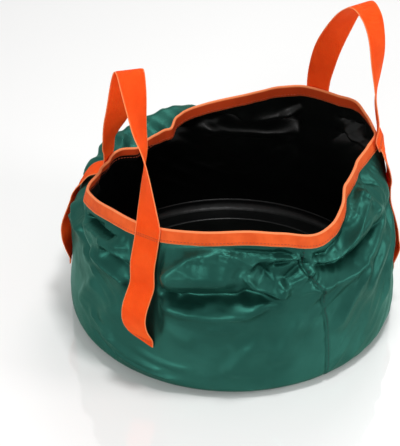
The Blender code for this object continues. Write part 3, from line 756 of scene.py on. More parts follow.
def foldForm(bearings, heights, line, above, below, kind):
    start = line[0][0]
    spots = [(awayFrom(b, start) * alongPerDegree, z) for b, z in line]
    across = awayFrom(bearings[None, :], start) * alongPerDegree + 0 * heights
    gapBest = np.full_like(heights, 1e9)
    offBest, along = np.zeros_like(heights), np.zeros_like(heights)
    travelled = 0.0
    for p, q in zip(spots, spots[1:]):
        dx, dy = q[0] - p[0], q[1] - p[1]
        run = math.hypot(dx, dy)
        t = np.clip(((across - p[0]) * dx + (heights - p[1]) * dy) / run**2, 0, 1)
        offX, offY = across - p[0] - t * dx, heights - p[1] - t * dy
        gap = np.hypot(offX, offY)
        nearer = gap < gapBest
        gapBest = np.where(nearer, gap, gapBest)
        offBest = np.where(nearer, dx * offY - dy * offX, offBest)
        along = np.where(nearer, travelled + t * run, along)
        travelled += run
    width = np.where(offBest > 0, above, below) * foldSize["width"]
    share = along / travelled
    ends = smoothStep(share / foldSize["fade"]) * smoothStep((1 - share) / foldSize["fade"])
    if kind == "soft":
        return ends * np.exp(-((gapBest / width) ** 2))
    square, radius = foldSize["crest"]
    return ends * np.exp(-(np.sqrt(gapBest**2 + square) - radius) / width)


def foldHeights(bearings, heights):
    total = np.zeros_like(heights)
    for line, rise, above, below, kind in folds:
        first, last = line[0][0], line[-1][0]
        reach = foldSize["steepReach"] if last < first else (last - first) / 2 + foldSize["margin"]
        near = abs(awayFrom(bearings, (first + last) / 2)) < reach
        form = foldForm(bearings[near], heights[:, near], line, above, below, kind)
        total[:, near] += foldSize[kind] * rise * form
    return total


def pullHeights(bearings, heights):
    total = np.zeros_like(heights)
    above = smoothStep((heights - pullSize["from"]) / pullSize["over"])
    reach = pullSize["low"] + (1 - pullSize["low"]) * above
    along = bearings[None, :] * alongPerDegree + 0 * heights
    for (start, end), slope, rise, seed in pulls:
        fade = pullSize["fade"]
        inside = smoothStep((bearings - start) / fade) * smoothStep((end - bearings) / fade)
        near = inside > 0
        turn = math.radians(slope)
        x, z = along[:, near], heights[:, near]
        u, v = x * math.cos(turn) + z * math.sin(turn), z * math.cos(turn) - x * math.sin(turn)
        places = np.stack((u / pullSize["length"], v / pullSize["width"], 0 * u), -1)
        ridge = 1 - np.minimum(1, pullSize["sharpness"] * abs(seededNoise(places, 1, seed)))
        total[:, near] += rise * ridge * inside[near] * reach[:, near]
    return total


def seamOffsets(bearings, heights):  # millimetres to the right of the upright seam
    line = sorted((z, b) for b, z in sideSeam["line"])
    at = np.interp(heights, [z for z, b in line], [b for z, b in line])
    return awayFrom(bearings[None, :], at) * alongPerDegree


def seededNoise(points, size, seed):
    flat = points.reshape(-1, 3) / size + seed
    values = np.array([noise.noise(Vector(p)) for p in flat])
    return values.reshape(points.shape[:-1])


strap = {
    "width": 25.0,
    "gauge": 1.4,
    "hingeLift": 10.0,
    "seat": 0.5,
    "stitchDrop": 8.6,  # depth of the stitch line on the binding
    "endAt": 52.0,
    "endLength": 9.0,
    "endRows": (2, 4),  # steps up from a lower end to its two rows of stitches
    "endRowHalf": 0.42,  # share of the width
    "slant": {"left_front": 7.0},  # millimetres by which the left edge of a lower end is shorter
    "slantSteps": 8,
    "acrossSteps": 10,
    "edge": 0.44,  # share of the width, from the middle, at which the webbing begins to thin
    "edgeThin": 0.55,
    "waver": 0.25,
    "waverFineness": 60,
    "sharpEdge": 50,
}
covered = {  # the wall under a strap, in millimetres
    "half": 22,
    "soft": 9,
    "low": 34,
    "over": 8,
    "ends": (43, 56),
    "top": 150,
}
carryStraps = {
    "left": {
        "feet": {"front": (-147, -147), "rear": (142, 154)},
        "lean": -3.5,
        "loop": ((-66, 42), (-45, 67), (-26, 97), (-13, 109), (2, 97), (28, 58), (50, 30)),
        "turns": ((0, 30), (0.2, -17), (0.33, -48), (0.5, -91), (0.8, -75), (0.9, -48), (1, -30)),
    },
    "right": {
        "feet": {"front": (-15.5, -26), "rear": (28, 30)},
        "lean": 0.5,
        "loop": ((-44, 20), (-43, 46), (-38, 82), (-28, 99), (-12, 105), (4, 92), (24, 63), (39, 35)),
        "turns": (
            (0, -22), (0.1, -31), (0.18, -47), (0.26, -63), (0.36, -68), (0.45, -74), (0.55, -93),
            (0.75, -121), (1, -157),
        ),
    },
}
slackTwists = {  # share of the way down and degrees about the strap's own length
    "left_rear": ((0, 0), (0.38, 0), (0.52, 20), (0.64, 27), (0.76, 12), (0.85, 0), (1, 0)),
    "right_front": ((0, 0), (0.42, 0), (0.56, -13), (0.68, -19), (0.78, -8), (0.85, 0), (1, 0)),
}
# The slack lengths below the rim: bearing, radius and height in millimetres of the middle of the strap
slackPaths = {
    "left_front": (
        (-147, 144, 134), (-147, 147.5, 123), (-147, 148, 111), (-147, 148.5, 103.5), (-147, 155.5, 94),
        (-147, 161, 86), (-147, 163, 76), (-147, 160, 64), (-147, 154.5, 54.5),
    ),
    "left_rear": (
        (142, 125.5, 127), (142.8, 135, 123.5), (146, 143.5, 111), (149.5, 149.5, 96), (152, 154, 80),
        (153, 153.5, 67), (153.5, 152, 57),
    ),
    "right_front": (
        (-17, 135, 143), (-20, 140, 127), (-23, 145.5, 110), (-25, 149.5, 94), (-26, 151.5, 80),
        (-26, 151.5, 67), (-26, 151.5, 57),
    ),
    "right_rear": (
        (28, 142, 138), (28.5, 146, 122), (29, 151, 104), (29.5, 153, 88), (30, 152, 70), (30, 151, 60),
    ),
}


def strapCover(bearings, heights):  # 1 where a strap lies on the wall
    cover = np.zeros_like(heights)
    for side, settings in carryStraps.items():
        for key, (top, end) in settings["feet"].items():
            slack = [(b, z) for b, r, z in slackPaths[f"{side}_{key}"][::-1]]
            path = [*((end, z) for z in covered["ends"]), *slack, (top, covered["top"])]
            at = np.interp(heights, [z for b, z in path], [b for b, z in path])
            away = abs(awayFrom(bearings[None, :], at)) * alongPerDegree
            above = smoothStep((heights - covered["low"]) / covered["over"])
            cover = np.maximum(cover, smoothStep((covered["half"] - away) / covered["soft"]) * above)
    return cover


slump = {
    "every": 2,  # the simulated grid has each second row and column
    "frames": 18,
    "tall": 0.06,  # share by which the cloth is cut taller than its guide shape, above "from"
    "wide": 0.028,  # the same round the rim
    "from": 62,
    "wideOver": 0.04,  # metres above "from" in which the cloth gets its full extra width
    "quality": 6,
    "mass": 0.003,
    "airDamping": 0.5,
    "stretch": 80,
    "shear": 30,
    "bend": 0.045,
    "pin": 5,
    "limit": 6.0,  # millimetres that the cloth may leave the guide shape
}


def gridFaces(rows, columns):
    r, c = np.meshgrid(np.arange(rows - 1), np.arange(columns), indexing="ij")
    a, b = (r * columns + c).ravel(), (r * columns + (c + 1) % columns).ravel()
    return np.stack((a, b, b + columns, a + columns), 1)


def slumped(points, held):  # the slack cloth settles under its weight between its held edges
    rows, columns = points.shape[:2]
    mesh = bpy.data.meshes.new("slumping")
    mesh.from_pydata(points.reshape(-1, 3).tolist(), [], gridFaces(rows, columns).tolist())
    piece = bpy.data.objects.new("slumping", mesh)
    scene.collection.objects.link(piece)
    group = piece.vertex_groups.new(name="held")
    for index, weight in enumerate(held.ravel().tolist()):
        group.add([index], weight, "REPLACE")
    piece.shape_key_add(name="hung")
    pattern = piece.shape_key_add(name="cut")
    above = np.clip(points[..., 2:] - slump["from"] * mm, 0, None)
    wider = slump["wide"] * np.clip(above / slump["wideOver"], 0, 1)
    cut = points * (1 + wider * np.array((1, 1, 0)))
    cut = cut + above * slump["tall"] * np.array((0, 0, 1))
    pattern.data.foreach_set("co", cut.ravel())
    cloth = piece.modifiers.new("cloth", "CLOTH")
    settings = cloth.settings
    settings.quality = slump["quality"]
    settings.mass = slump["mass"]
    settings.air_damping = slump["airDamping"]
    settings.tension_stiffness = settings.compression_stiffness = slump["stretch"]
    settings.shear_stiffness = slump["shear"]
    settings.bending_stiffness = slump["bend"]
    settings.rest_shape_key = pattern
    settings.vertex_group_mass = "held"
    settings.pin_stiffness = slump["pin"]
    cloth.collision_settings.use_collision = False
    cloth.point_cache.frame_start, cloth.point_cache.frame_end = 1, slump["frames"]
    for frameNumber in range(1, slump["frames"] + 1):
        scene.frame_set(frameNumber)
    seen = piece.evaluated_get(bpy.context.evaluated_depsgraph_get()).to_mesh()
    found = np.empty(rows * columns * 3)
    seen.vertices.foreach_get("co", found)
    bpy.data.objects.remove(piece)
    bpy.data.meshes.remove(mesh)
    scene.frame_set(1)
    return found.reshape(rows, columns, 3)


def spreadOut(values, rowsFrom, rowsTo, columnsFrom, columnsTo):  # smooth steps between the coarse points
    def cubic(data, at, to, wraps):
        steps = np.arange(len(at))
        place = np.interp(to, at, steps)
        i = np.floor(place).astype(int)
        t = (place - i)[:, None, None]
        picks = [(i + k) % len(at) if wraps else np.clip(i + k, 0, len(at) - 1) for k in (-1, 0, 1, 2)]
        a, b, c, d = (data[p] for p in picks)
        return b + 0.5 * t * (c - a + t * (2 * a - 5 * b + 4 * c - d + t * (3 * (b - c) + d - a)))

    tall = cubic(values, rowsFrom, rowsTo, False)
    return cubic(tall.transpose(1, 0, 2), columnsFrom, columnsTo, True).transpose(1, 0, 2)


def settle(points, held):
    every = slump["every"]
    rows = np.unique(np.append(np.arange(0, points.shape[0], every), points.shape[0] - 1))
    columns = np.arange(0, points.shape[1], every)
    picked = np.ix_(rows, columns)
    coarse = points[picked]
    moved = slumped(coarse, held[picked]) - coarse
    size = np.linalg.norm(moved, axis=-1, keepdims=True)
    limit = slump["limit"] * mm
    moved *= limit * np.tanh(size / limit) / np.maximum(size, 1e-9)
    furthest, mean = round(float(size.max()) / mm, 1), round(float(size.mean()) / mm, 2)
    print("cloth settled, furthest", furthest, "mm, mean", mean)
    return points + spreadOut(moved, rows, np.arange(points.shape[0]), columns, np.arange(points.shape[1]))


def fadeIn(values, name):
    start, over = fades[name]
    return smoothStep((values - start) / over)


def wallSurface():
    start, end = wall["front"]
    front = np.linspace(start, end, wall["frontColumns"], endpoint=False)
    back = np.linspace(end, start + 360, wall["backColumns"], endpoint=False)
    bearings = np.concatenate((front, back))
    radius, height = wallProfiles(bearings, wall["lowRows"], wall["topRows"])
    points = spun(bearings[None, :], radius, height) * mm
    normals = gridNormals(points)
    steps = np.linalg.norm(np.diff(points, axis=0), axis=-1)
    length = np.vstack((np.zeros(len(bearings)), np.cumsum(steps, 0)))
    fromRim = (length[-1] - length) / mm
    upper = fadeIn(height, "crumple")
    stretched = points * np.array((1, 1, crumple["upright"]))
    fine = crumple["length"] * crumple["fineShare"]
    shift = crumple["height"] * upper * seededNoise(stretched, crumple["length"], 3.1)
    shift += crumple["fine"] * upper * seededNoise(stretched, fine, 8.7)
    shift += foldHeights(bearings, height) + pullHeights(bearings, height)
    lies = strapCover(bearings, height)
    ends = fadeIn(fromRim, "rim") * fadeIn(height, "floor")
    pressed = np.minimum(shift * underStrap["kept"], underStrap["pressed"])
    shift = (shift * (1 - lies) + lies * pressed) * ends
    guide = points + normals * (shift * mm)[..., None]
    free = fadeIn(fromRim, "looseRim") * fadeIn(height, "looseFloor") * (1 - underStrap["held"] * lies)
    points = settle(guide, 1 - free)
    normals = gridNormals(points)
    shift = 0 * shift
    wobble = seededNoise(points, gathers["patch"], 5.3)
    turns = bearings[None, :] * alongPerDegree / gathers["spacing"] + gathers["wander"] * wobble
    pucker = (np.sin(2 * np.pi * turns) * 0.5 + 0.5) ** 2 * (gathers["least"] + wobble)
    below = np.clip(fromRim - gathers["from"], 0, None)
    shift += ends * gathers["height"] * pucker * np.exp(-below / gathers["reach"] * 2)
    shift *= 1 - lies
    off = seamOffsets(bearings, height)
    lap = np.where(off > 0, np.exp(-np.clip(off, 0, None) / sideSeam["stepFade"]), 0)
    lap = lap * smoothStep(off / sideSeam["stepEdge"])
    groove = np.exp(-((off / sideSeam["grooveWidth"]) ** 2))
    shift += sideSeam["step"] * lap - sideSeam["groove"] * groove
    shift *= ends
    moved = points + normals * (shift * mm)[..., None]
    return bearings, height, moved, gridNormals(moved), length


def addShell(name, outer, inner, material, uv=None, closed=True, uvWrap=None):
    rows, columns = outer.shape[:2]
    points = np.concatenate((outer.reshape(-1, 3), inner.reshape(-1, 3)))
    back = rows * columns
    spans = columns if closed else columns - 1
    r, c = np.meshgrid(np.arange(rows - 1), np.arange(spans), indexing="ij")
    a = (r * columns + c).ravel()
    b = (r * columns + (c + 1) % columns).ravel()
    faces = [np.stack((a, b, b + columns, a + columns), 1)]
    faces.append(np.stack((back + a, back + a + columns, back + b + columns, back + b), 1))
    c = np.arange(spans)
    d = (c + 1) % columns
    top = (rows - 1) * columns
    faces.append(np.stack((d, c, back + c, back + d), 1))
    faces.append(np.stack((top + c, top + d, back + top + d, back + top + c), 1))
    if not closed:
        a = np.arange(rows - 1) * columns
        faces.append(np.stack((a, a + columns, back + a + columns, back + a), 1))
        b = a + columns - 1
        faces.append(np.stack((b + columns, b, back + b, back + b + columns), 1))
    faces = np.concatenate(faces)
    mesh = bpy.data.meshes.new(name)
    mesh.from_pydata(points.tolist(), [], faces.tolist())
    mesh.polygons.foreach_set("use_smooth", np.ones(len(faces), bool))
    if uv is not None:
        layer = mesh.uv_layers.new(name="cloth")
        both = np.concatenate((uv.reshape(-1, 2), uv.reshape(-1, 2)))
        quads = both[faces.ravel()].reshape(-1, 4, 2)
        if closed:  # the last column closes on the first, so its far side is carried on past the end
            wraps = np.ptp(quads[..., 0], axis=1) > uvWrap / 2
            low = quads[wraps, :, 0]
            quads[wraps, :, 0] = np.where(low < low.max(1, keepdims=True) - uvWrap / 2, low + uvWrap, low)
        layer.data.foreach_set("uv", quads.ravel())
    mesh.materials.append(material)
    piece = bpy.data.objects.new(name, mesh)
    scene.collection.objects.link(piece)
    return piece


def followWall(piece):
    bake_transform(piece)


def addWall():
    girth = math.tau * wall["girth"]
    uv = np.stack((np.radians(wallBearings)[None, :] * wall["girth"] + 0 * wallLengths, wallLengths), -1)
    faces = (wallPoints, wallPoints - wallNormals * (wall["cloth"] * mm))
    piece = addShell("wallCloth", *faces, greenMaterial, uv, True, girth)
    followWall(piece)
    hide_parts("wall_lower", "wall_lower_middle", "wall_upper_middle", "wall_upper")
    near = (wall["cloth"] + wall["linerGap"]) * mm
    far = near + wall["liner"] * mm
    faces = (wallPoints - wallNormals * near, wallPoints - wallNormals * far)
    piece = addShell("wallLiner", *faces, linerMaterial, uv, True, girth)
    followWall(piece)
    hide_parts("liner_lower", "liner_lower_middle", "liner_upper_middle", "liner_upper")


wallBearings, wallHeights, wallPoints, wallNormals, wallLengths = wallSurface()
addWall()
print("wall and liner ready")


def onWall(bearing, height, stand=0.0):  # a point on the crumpled outer face, and its normal there
    column = int(np.argmin(abs(awayFrom(wallBearings, bearing))))
    rows = wallHeights[:, column]
    at = float(np.interp(height, rows, np.arange(len(rows))))
    low = min(int(at), len(rows) - 2)
    spot = wallPoints[low, column] * (low + 1 - at) + wallPoints[low + 1, column] * (at - low)
    normal = wallNormals[low, column]
    turn = math.radians(bearing - float(wallBearings[column]))
    along, aside = math.cos(turn), math.sin(turn)
    spot = Vector((spot[0] * along - spot[1] * aside, spot[0] * aside + spot[1] * along, spot[2]))
    return spot + Vector(normal) * stand * mm, Vector(normal)


sideTape = {
    "bearing": -82.5,
    "half": 5.0,
    "halfColumns": 8,
    "low": 12.0,
    "high": 135.0,
    "rows": 90,
    "off": 0.25,
    "gauge": 0.3,
}


def addSideTape():
    count = sideTape["halfColumns"]
    step = sideTape["half"] / count / alongPerDegree
    bearings = [sideTape["bearing"] + k * step for k in range(-count, count + 1)]
    heights = np.linspace(sideTape["low"], sideTape["high"], sideTape["rows"])
    depth = layers + sideTape["off"]
    faces = []
    for extra in (0, sideTape["gauge"]):
        grid = [[onWall(b, z, -depth - extra)[0] for b in bearings] for z in heights]
        faces.append(np.array(grid))
    tape = addShell("sideSeamTape", faces[0], faces[1], tapeMaterial, closed=False)
    followWall(tape)
    nodes = [f"side_seam_tape_{band}" for band in ("lower", "lower_middle", "upper_middle", "upper")]
    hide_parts(*nodes)


addSideTape()
print("side seam tape ready")


def rimFrames(bearings):  # top of the wall's edge, the way down along the wall, and the outward normal
    bearings = np.asarray(bearings, float)
    footRadius, footHeight, topRadius, topHeight = stripEnds(bearings)
    low = spun(bearings, footRadius, footHeight) * mm
    top = spun(bearings, topRadius, topHeight) * mm
    down = low - top
    down /= np.linalg.norm(down, axis=-1, keepdims=True)
    side = np.gradient(top, axis=0)
    if len(bearings) > 9:
        side = np.roll(top, -1, 0) - np.roll(top, 1, 0)
    normal = np.cross(side, -down)
    normal /= np.linalg.norm(normal, axis=-1, keepdims=True)
    return top, down, normal


def bindingRipple(bearings):  # the tape's edges stand off a little, more at the gathers
    angle = np.radians(bearings)
    total = np.zeros(len(bearings))
    for fineness, seed, share in rim["ripples"]:
        places = zip(np.cos(angle) * fineness, np.sin(angle) * fineness)
        total += share * np.array([noise.noise(Vector((x, y, seed))) for x, y in places])
    return rim["ripple"] * mm * total


def addBinding():
    columns = rim["columns"]
    bearings = np.arange(columns) * 360 / columns
    top, down, normal = rimFrames(bearings)
    width, gauge, seat = rim["tapeWidth"] * mm, rim["tapeGauge"] * mm, rim["seat"] * mm
    inside = layers * mm + seat
    half = (inside + seat) / 2
    centre = -inside + half  # middle of the wall's layers, along the normal
    rows = []
    legs = np.linspace(1, 0, rim["legRows"])
    for share in legs:
        rows.append((seat, share * width, share))
    for k in range(1, rim["foldRows"]):
        turn = math.pi * k / rim["foldRows"]
        rows.append((centre + half * math.cos(turn), -half * math.sin(turn), 0))
    for share in legs[::-1]:
        rows.append((-inside, share * width, -share))
    ripple = bindingRipple(bearings)
    begins, full, wanes, ends = rim["crushed"]
    crushed = smoothStep((bearings - begins) / (full - begins))
    crushed = crushed * smoothStep((ends - bearings) / (ends - wanes))
    innerShare = 1 - rim["innerCrush"] * crushed
    outer, inner, uv = [], [], []
    travel = np.radians(bearings) * rim["girth"]
    for across, drop, share in rows:
        kept = innerShare if share < 0 else 1 + 0 * innerShare
        near = top + normal * across + down * (drop * kept)[:, None]
        if abs(share) > 0:
            bend = ripple * abs(share)
            far = near + normal * math.copysign(gauge, share)
            near, far = near + normal * bend[:, None], far + normal * bend[:, None]
        else:
            angle = math.atan2(-drop, across - centre)
            far = near + (normal * math.cos(angle) - down * math.sin(angle)) * gauge
        outer.append(far)
        inner.append(near)
        uv.append(np.stack((travel, np.full(columns, 1 - share)), -1))
    faces = (np.array(outer), np.array(inner))
    piece = addShell("rimBinding", *faces, bindingMaterial, np.array(uv), True, math.tau * rim["girth"])
    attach(piece, "rim")
    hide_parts("rim_binding")


addBinding()
print("binding ready")


discs = {  # metres
    "panel": {"radius": 0.1404, "low": 0.0, "gauge": 0.0008, "waves": 0.0, "rings": 24, "columns": 120},
    "floor": {"radius": 0.1386, "low": 0.0013, "gauge": 0.0005, "waves": 0.0014, "rings": 60, "columns": 200},
}
discWaves = {"long": 0.06, "short": 0.022, "shortShare": 0.35, "edge": 0.03, "pole": 0.002}
baseTape = {  # millimetres
    "columns": 200,
    "inset": 0.35,
    "climb": (2.3, 2.4, 2.6, 3.4, 5.0, 7.5, 10.0, 12.0),  # heights up the wall
    "flatFrom": 127.5,
    "flatHeight": 2.2,
    "flatSteps": 5,
    "corner": 1.0,
    "gauge": 0.3,
}


def addDisc(name, size, material):
    rings, columns, waves = size["rings"], size["columns"], size["waves"]
    bearings = np.arange(columns) * 360 / columns
    rounds = np.linspace(size["radius"], discWaves["pole"], rings)[:, None] + 0 * bearings[None, :]
    grid = spun(bearings[None, :], rounds, 0 * rounds + size["low"])
    lift = seededNoise(grid, discWaves["long"], 1.7) * waves
    lift += seededNoise(grid, discWaves["short"], 4.4) * waves * discWaves["shortShare"]
    lift = (lift + waves) * smoothStep((size["radius"] - rounds) / discWaves["edge"])
    upper = grid + np.stack((0 * lift, 0 * lift, lift + size["gauge"]), -1)
    lower = grid + np.stack((0 * lift, 0 * lift, lift), -1)
    piece = addShell(name, upper, lower, material)
    work = bmesh.new()
    work.from_mesh(piece.data)
    work.verts.ensure_lookup_table()
    first = (rings - 1) * columns
    for start in (first, rings * columns + first):
        work.faces.new([work.verts[start + k] for k in range(columns)])
    doomed = [
        f for f in work.faces
        if len(f.verts) == 4 and all(v.index % (rings * columns) >= first for v in f.verts)
    ]
    bmesh.ops.delete(work, geom=doomed, context="FACES_ONLY")
    bmesh.ops.recalc_face_normals(work, faces=work.faces[:])
    layer = work.loops.layers.uv.new("cloth")
    for face in work.faces:
        face.smooth = True
        for loop in face.loops:
            loop[layer].uv = loop.vert.co.xy
    work.to_mesh(piece.data)
    work.free()
    return piece


def addBase():
    panel = addDisc("basePanel", discs["panel"], greenMaterial)
    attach(panel, "base")
    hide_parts("base_outer_panel")
    floor = addDisc("linerFloor", discs["floor"], linerMaterial)
    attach(floor, "base")
    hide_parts("base_inner_liner")
    bearings = np.arange(baseTape["columns"]) * (360 / baseTape["columns"])
    inset = layers + baseTape["inset"]
    climb = [(float(wallRadius(np.array(z))) - inset, z) for z in baseTape["climb"]]
    reach = np.linspace(baseTape["flatFrom"], climb[0][0] - baseTape["corner"], baseTape["flatSteps"])
    profile = np.array([(r, baseTape["flatHeight"]) for r in reach] + climb)
    tangent = np.gradient(profile, axis=0)
    out = np.stack((tangent[:, 1], -tangent[:, 0]), 1)
    out /= np.linalg.norm(out, axis=1, keepdims=True)
    faces = []
    for side in (profile, profile - out * baseTape["gauge"]):
        grown = side[:, None, :] + 0 * bearings[None, :, None]
        faces.append(spun(bearings[None, :], grown[..., 0], grown[..., 1]) * mm)
    tape = addShell("baseTape", *faces, tapeMaterial)
    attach(tape, "base")
    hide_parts("base_seam_tape")


addBase()
print("base ready")


def smoothThrough(points, perSpan):  # a curve through uneven points, without loops or overshoot
    points = [Vector(p) for p in points]
    ends = [points[0] * 2 - points[1], *points, points[-1] * 2 - points[-2]]
    found = []
    for i in range(1, len(ends) - 2):
        p, q, r, s = ends[i - 1 : i + 3]
        a = max((q - p).length, 1e-6) ** 0.5
        b = a + max((r - q).length, 1e-6) ** 0.5
        c = b + max((s - r).length, 1e-6) ** 0.5
        for k in range(perSpan):
            t = a + (b - a) * k / perSpan
            first = p * ((a - t) / a) + q * (t / a)
            second = q * ((b - t) / (b - a)) + r * ((t - a) / (b - a))
            third = r * ((c - t) / (c - b)) + s * ((t - b) / (c - b))
            low = first * ((b - t) / b) + second * (t / b)
            high = second * ((c - t) / (c - a)) + third * ((t - a) / (c - a))
            found.append(low * ((b - t) / (b - a)) + high * ((t - a) / (b - a)))
    return [*found, points[-1].copy()]


def rimPoint(bearing, depth, stand):  # off the outside of the rim, depth millimetres down from its edge
    top, down, normal = rimFrames(np.array([bearing - 0.5, bearing, bearing + 0.5]))
    spot = top[1] + down[1] * depth * mm + normal[1] * stand * mm
    return Vector(spot), Vector(down[1]), Vector(normal[1])


def footStand():
    return rim["seat"] + rim["tapeGauge"] + strap["seat"] + strap["gauge"] / 2


def hingePoint(bearing):
    return rimPoint(bearing, 0, footStand())[0] + Vector((0, 0, strap["hingeLift"] * mm))


def between(stations, share):
    return float(np.interp(share, [s[0] for s in stations], [s[1] for s in stations]))


def footPath(bearing, depths):  # centres and widths of the strap on the binding
    points, widths = [], []
    for depth in depths:
        spot, down, normal = rimPoint(bearing, depth, footStand())
        points.append(spot)
        widths.append(down.cross(normal).normalized())
    return points, widths


def evenly(points, turns, step):
    run = [0.0]
    for a, b in zip(points, points[1:]):
        run.append(run[-1] + (b - a).length)
    count = max(2, round(run[-1] / step))
    at = np.linspace(0, run[-1], count + 1)
    spots = np.stack([np.interp(at, run, [p[k] for p in points]) for k in range(3)], 1)
    ways = np.stack([np.interp(at, run, [a[k] for a in turns]) for k in range(3)], 1)
    return spots, ways


def relaxed(values, passes, heldStart, heldEnd):  # rounds off corners between the held ends
    values = np.array(values, float)
    last = len(values) - heldEnd
    for _ in range(passes):
        middle = (values[:-2] + 2 * values[1:-1] + values[2:]) / 4
        values[heldStart:last] = middle[heldStart - 1 : last - 1]
    return values


def addRibbon(name, line, turns, slant=0.0):
    line = [Vector(p) for p in line]
    last = len(line) - 1
    width, gauge = strap["width"] * mm, strap["gauge"] * mm
    steps = strap["acrossSteps"]
    section = [(turned * (k / steps - 0.5), turned) for turned in (1, -1) for k in range(steps + 1)]
    points, uvs, travel = [], [], 0.0

    def spotOn(i, k, lift):  # k runs over the width from -0.5 to 0.5
        ahead = (line[min(i + 1, last)] - line[max(i - 1, 0)]).normalized()
        turn = Vector(turns[i])
        across = (turn - ahead * turn.dot(ahead)).normalized()
        normal = across.cross(ahead).normalized()
        cut = slant * mm * (0.5 - k) * smoothStep((i - last) / strap["slantSteps"] + 1)
        return line[i] + across * k * width + normal * lift - ahead * float(cut)

    for i in range(last + 1):
        if i:
            travel += (line[i] - line[i - 1]).length
        wave = noise.noise(Vector((travel * strap["waverFineness"], 3.3, 1.1))) * strap["waver"] * mm
        for k, face in section:
            thin = 1 - strap["edgeThin"] * max(0, abs(k) - strap["edge"]) / (0.5 - strap["edge"])
            points.append(spotOn(i, k, face * gauge / 2 * thin + wave * 2 * k))
            uvs.append((travel, k * width))
    count = len(section)
    faces = []
    for i in range(last):
        for k in range(count):
            a, b = i * count + k, i * count + (k + 1) % count
            faces.append((a, b, b + count, a + count))
    faces.append(tuple(range(count))[::-1])
    faces.append(tuple(last * count + k for k in range(count)))
    mesh = bpy.data.meshes.new(name)
    mesh.from_pydata([tuple(p) for p in points], [], faces)
    layer = mesh.uv_layers.new(name="cloth")
    for loop in mesh.loops:
        layer.data[loop.index].uv = uvs[loop.vertex_index]
    work = bmesh.new()
    work.from_mesh(mesh)
    bmesh.ops.recalc_face_normals(work, faces=work.faces[:])
    for face in work.faces:
        face.smooth = True
    work.to_mesh(mesh)
    work.free()
    mesh.set_sharp_from_angle(angle=math.radians(strap["sharpEdge"]))
    mesh.materials.append(webbingMaterial)
    piece = bpy.data.objects.new(name, mesh)
    scene.collection.objects.link(piece)
    return piece, spotOn, travel


carryLine = {
    "perSpan": 12,
    "step": 0.0016,
    "held": 6,  # steps kept as they are at each end
    "rounding": 8,
    "turnRounding": 30,
    "leaving": (1.0, -1.4),  # depths at which the strap comes up out of the binding's edge
}
slackLine = {
    "perSpan": 8,
    "step": 0.0014,
    "held": 4,
    "rounding": 3,
    "turnRounding": 10,
    "leaving": (10.5, 12.5),
    "levelFrom": 1,  # spans below the foot at which the strap begins to lie level, and over how many
    "levelOver": 3.0,
    "clear": 0.5,  # millimetres kept from the wall
    "firstClear": 0.2,
    "cleared": 3,
    "lastRounding": 4,
    "endHeights": (49.0, 46.0),
}


def addCarryStrap(side):
    settings = carryStraps[side]
    start, end = (hingePoint(settings["feet"][key][0]) for key in ("front", "rear"))
    along = (end - start).normalized()
    middle = (start + end) / 2
    away = Vector((middle.x, middle.y, 0)).normalized()
    flat = (away - along * away.dot(along)).normalized()
    lean = math.radians(settings["lean"])
    up = along.cross(flat).normalized()
    if up.z < 0:
        up = -up
    rise = up * math.cos(lean) + flat * math.sin(lean)
    square = rise.cross(along).normalized()
    stops = [start] + [middle + along * x * mm + rise * y * mm for x, y in settings["loop"]] + [end]
    arch = smoothThrough(stops, carryLine["perSpan"])
    run = [0.0]
    for a, b in zip(arch, arch[1:]):
        run.append(run[-1] + (b - a).length)
    widths = []
    for length in run:
        turn = math.radians(between(settings["turns"], length / run[-1]))
        widths.append(along * math.cos(turn) + square * math.sin(turn))
    depths = (strap["stitchDrop"], strap["stitchDrop"] / 2, *carryLine["leaving"])
    front, frontWidths = footPath(settings["feet"]["front"][0], depths)
    rear, rearWidths = footPath(settings["feet"]["rear"][0], depths[::-1])
    if frontWidths[-1].dot(widths[0]) < 0:
        frontWidths = [-w for w in frontWidths]
    if rearWidths[0].dot(widths[-1]) < 0:
        rearWidths = [-w for w in rearWidths]
    keys = front + arch[2:-2] + rear
    line, turns = evenly(keys, frontWidths + widths[2:-2] + rearWidths, carryLine["step"])
    held = carryLine["held"]
    line = relaxed(line, carryLine["rounding"], held, held)
    turns = relaxed(turns, carryLine["turnRounding"], held, held)
    piece, spotOn, length = addRibbon(f"carryStrap_{side}", line, turns)
    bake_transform(piece)
    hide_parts(f"handle_loop_{side}", f"strap_foot_{side}_front", f"strap_foot_{side}_rear")
    print("carry strap", side, round(length / mm), "mm")


def clearOfWall(line, turns, stand, skipped):  # moves the strap out where one of its edges meets the wall
    line = np.array(line, float)
    for i in range(skipped, len(line)):
        for k in (-0.5, -0.25, 0, 0.25, 0.5):
            spot = Vector(line[i]) + Vector(turns[i]).normalized() * k * strap["width"] * mm
            bearing = math.degrees(math.atan2(spot.y, spot.x))
            wallSpot, normal = onWall(bearing, spot.z / mm, stand)
            line[i] += np.array(normal * max(0.0, (wallSpot - spot).dot(normal)))
    return line


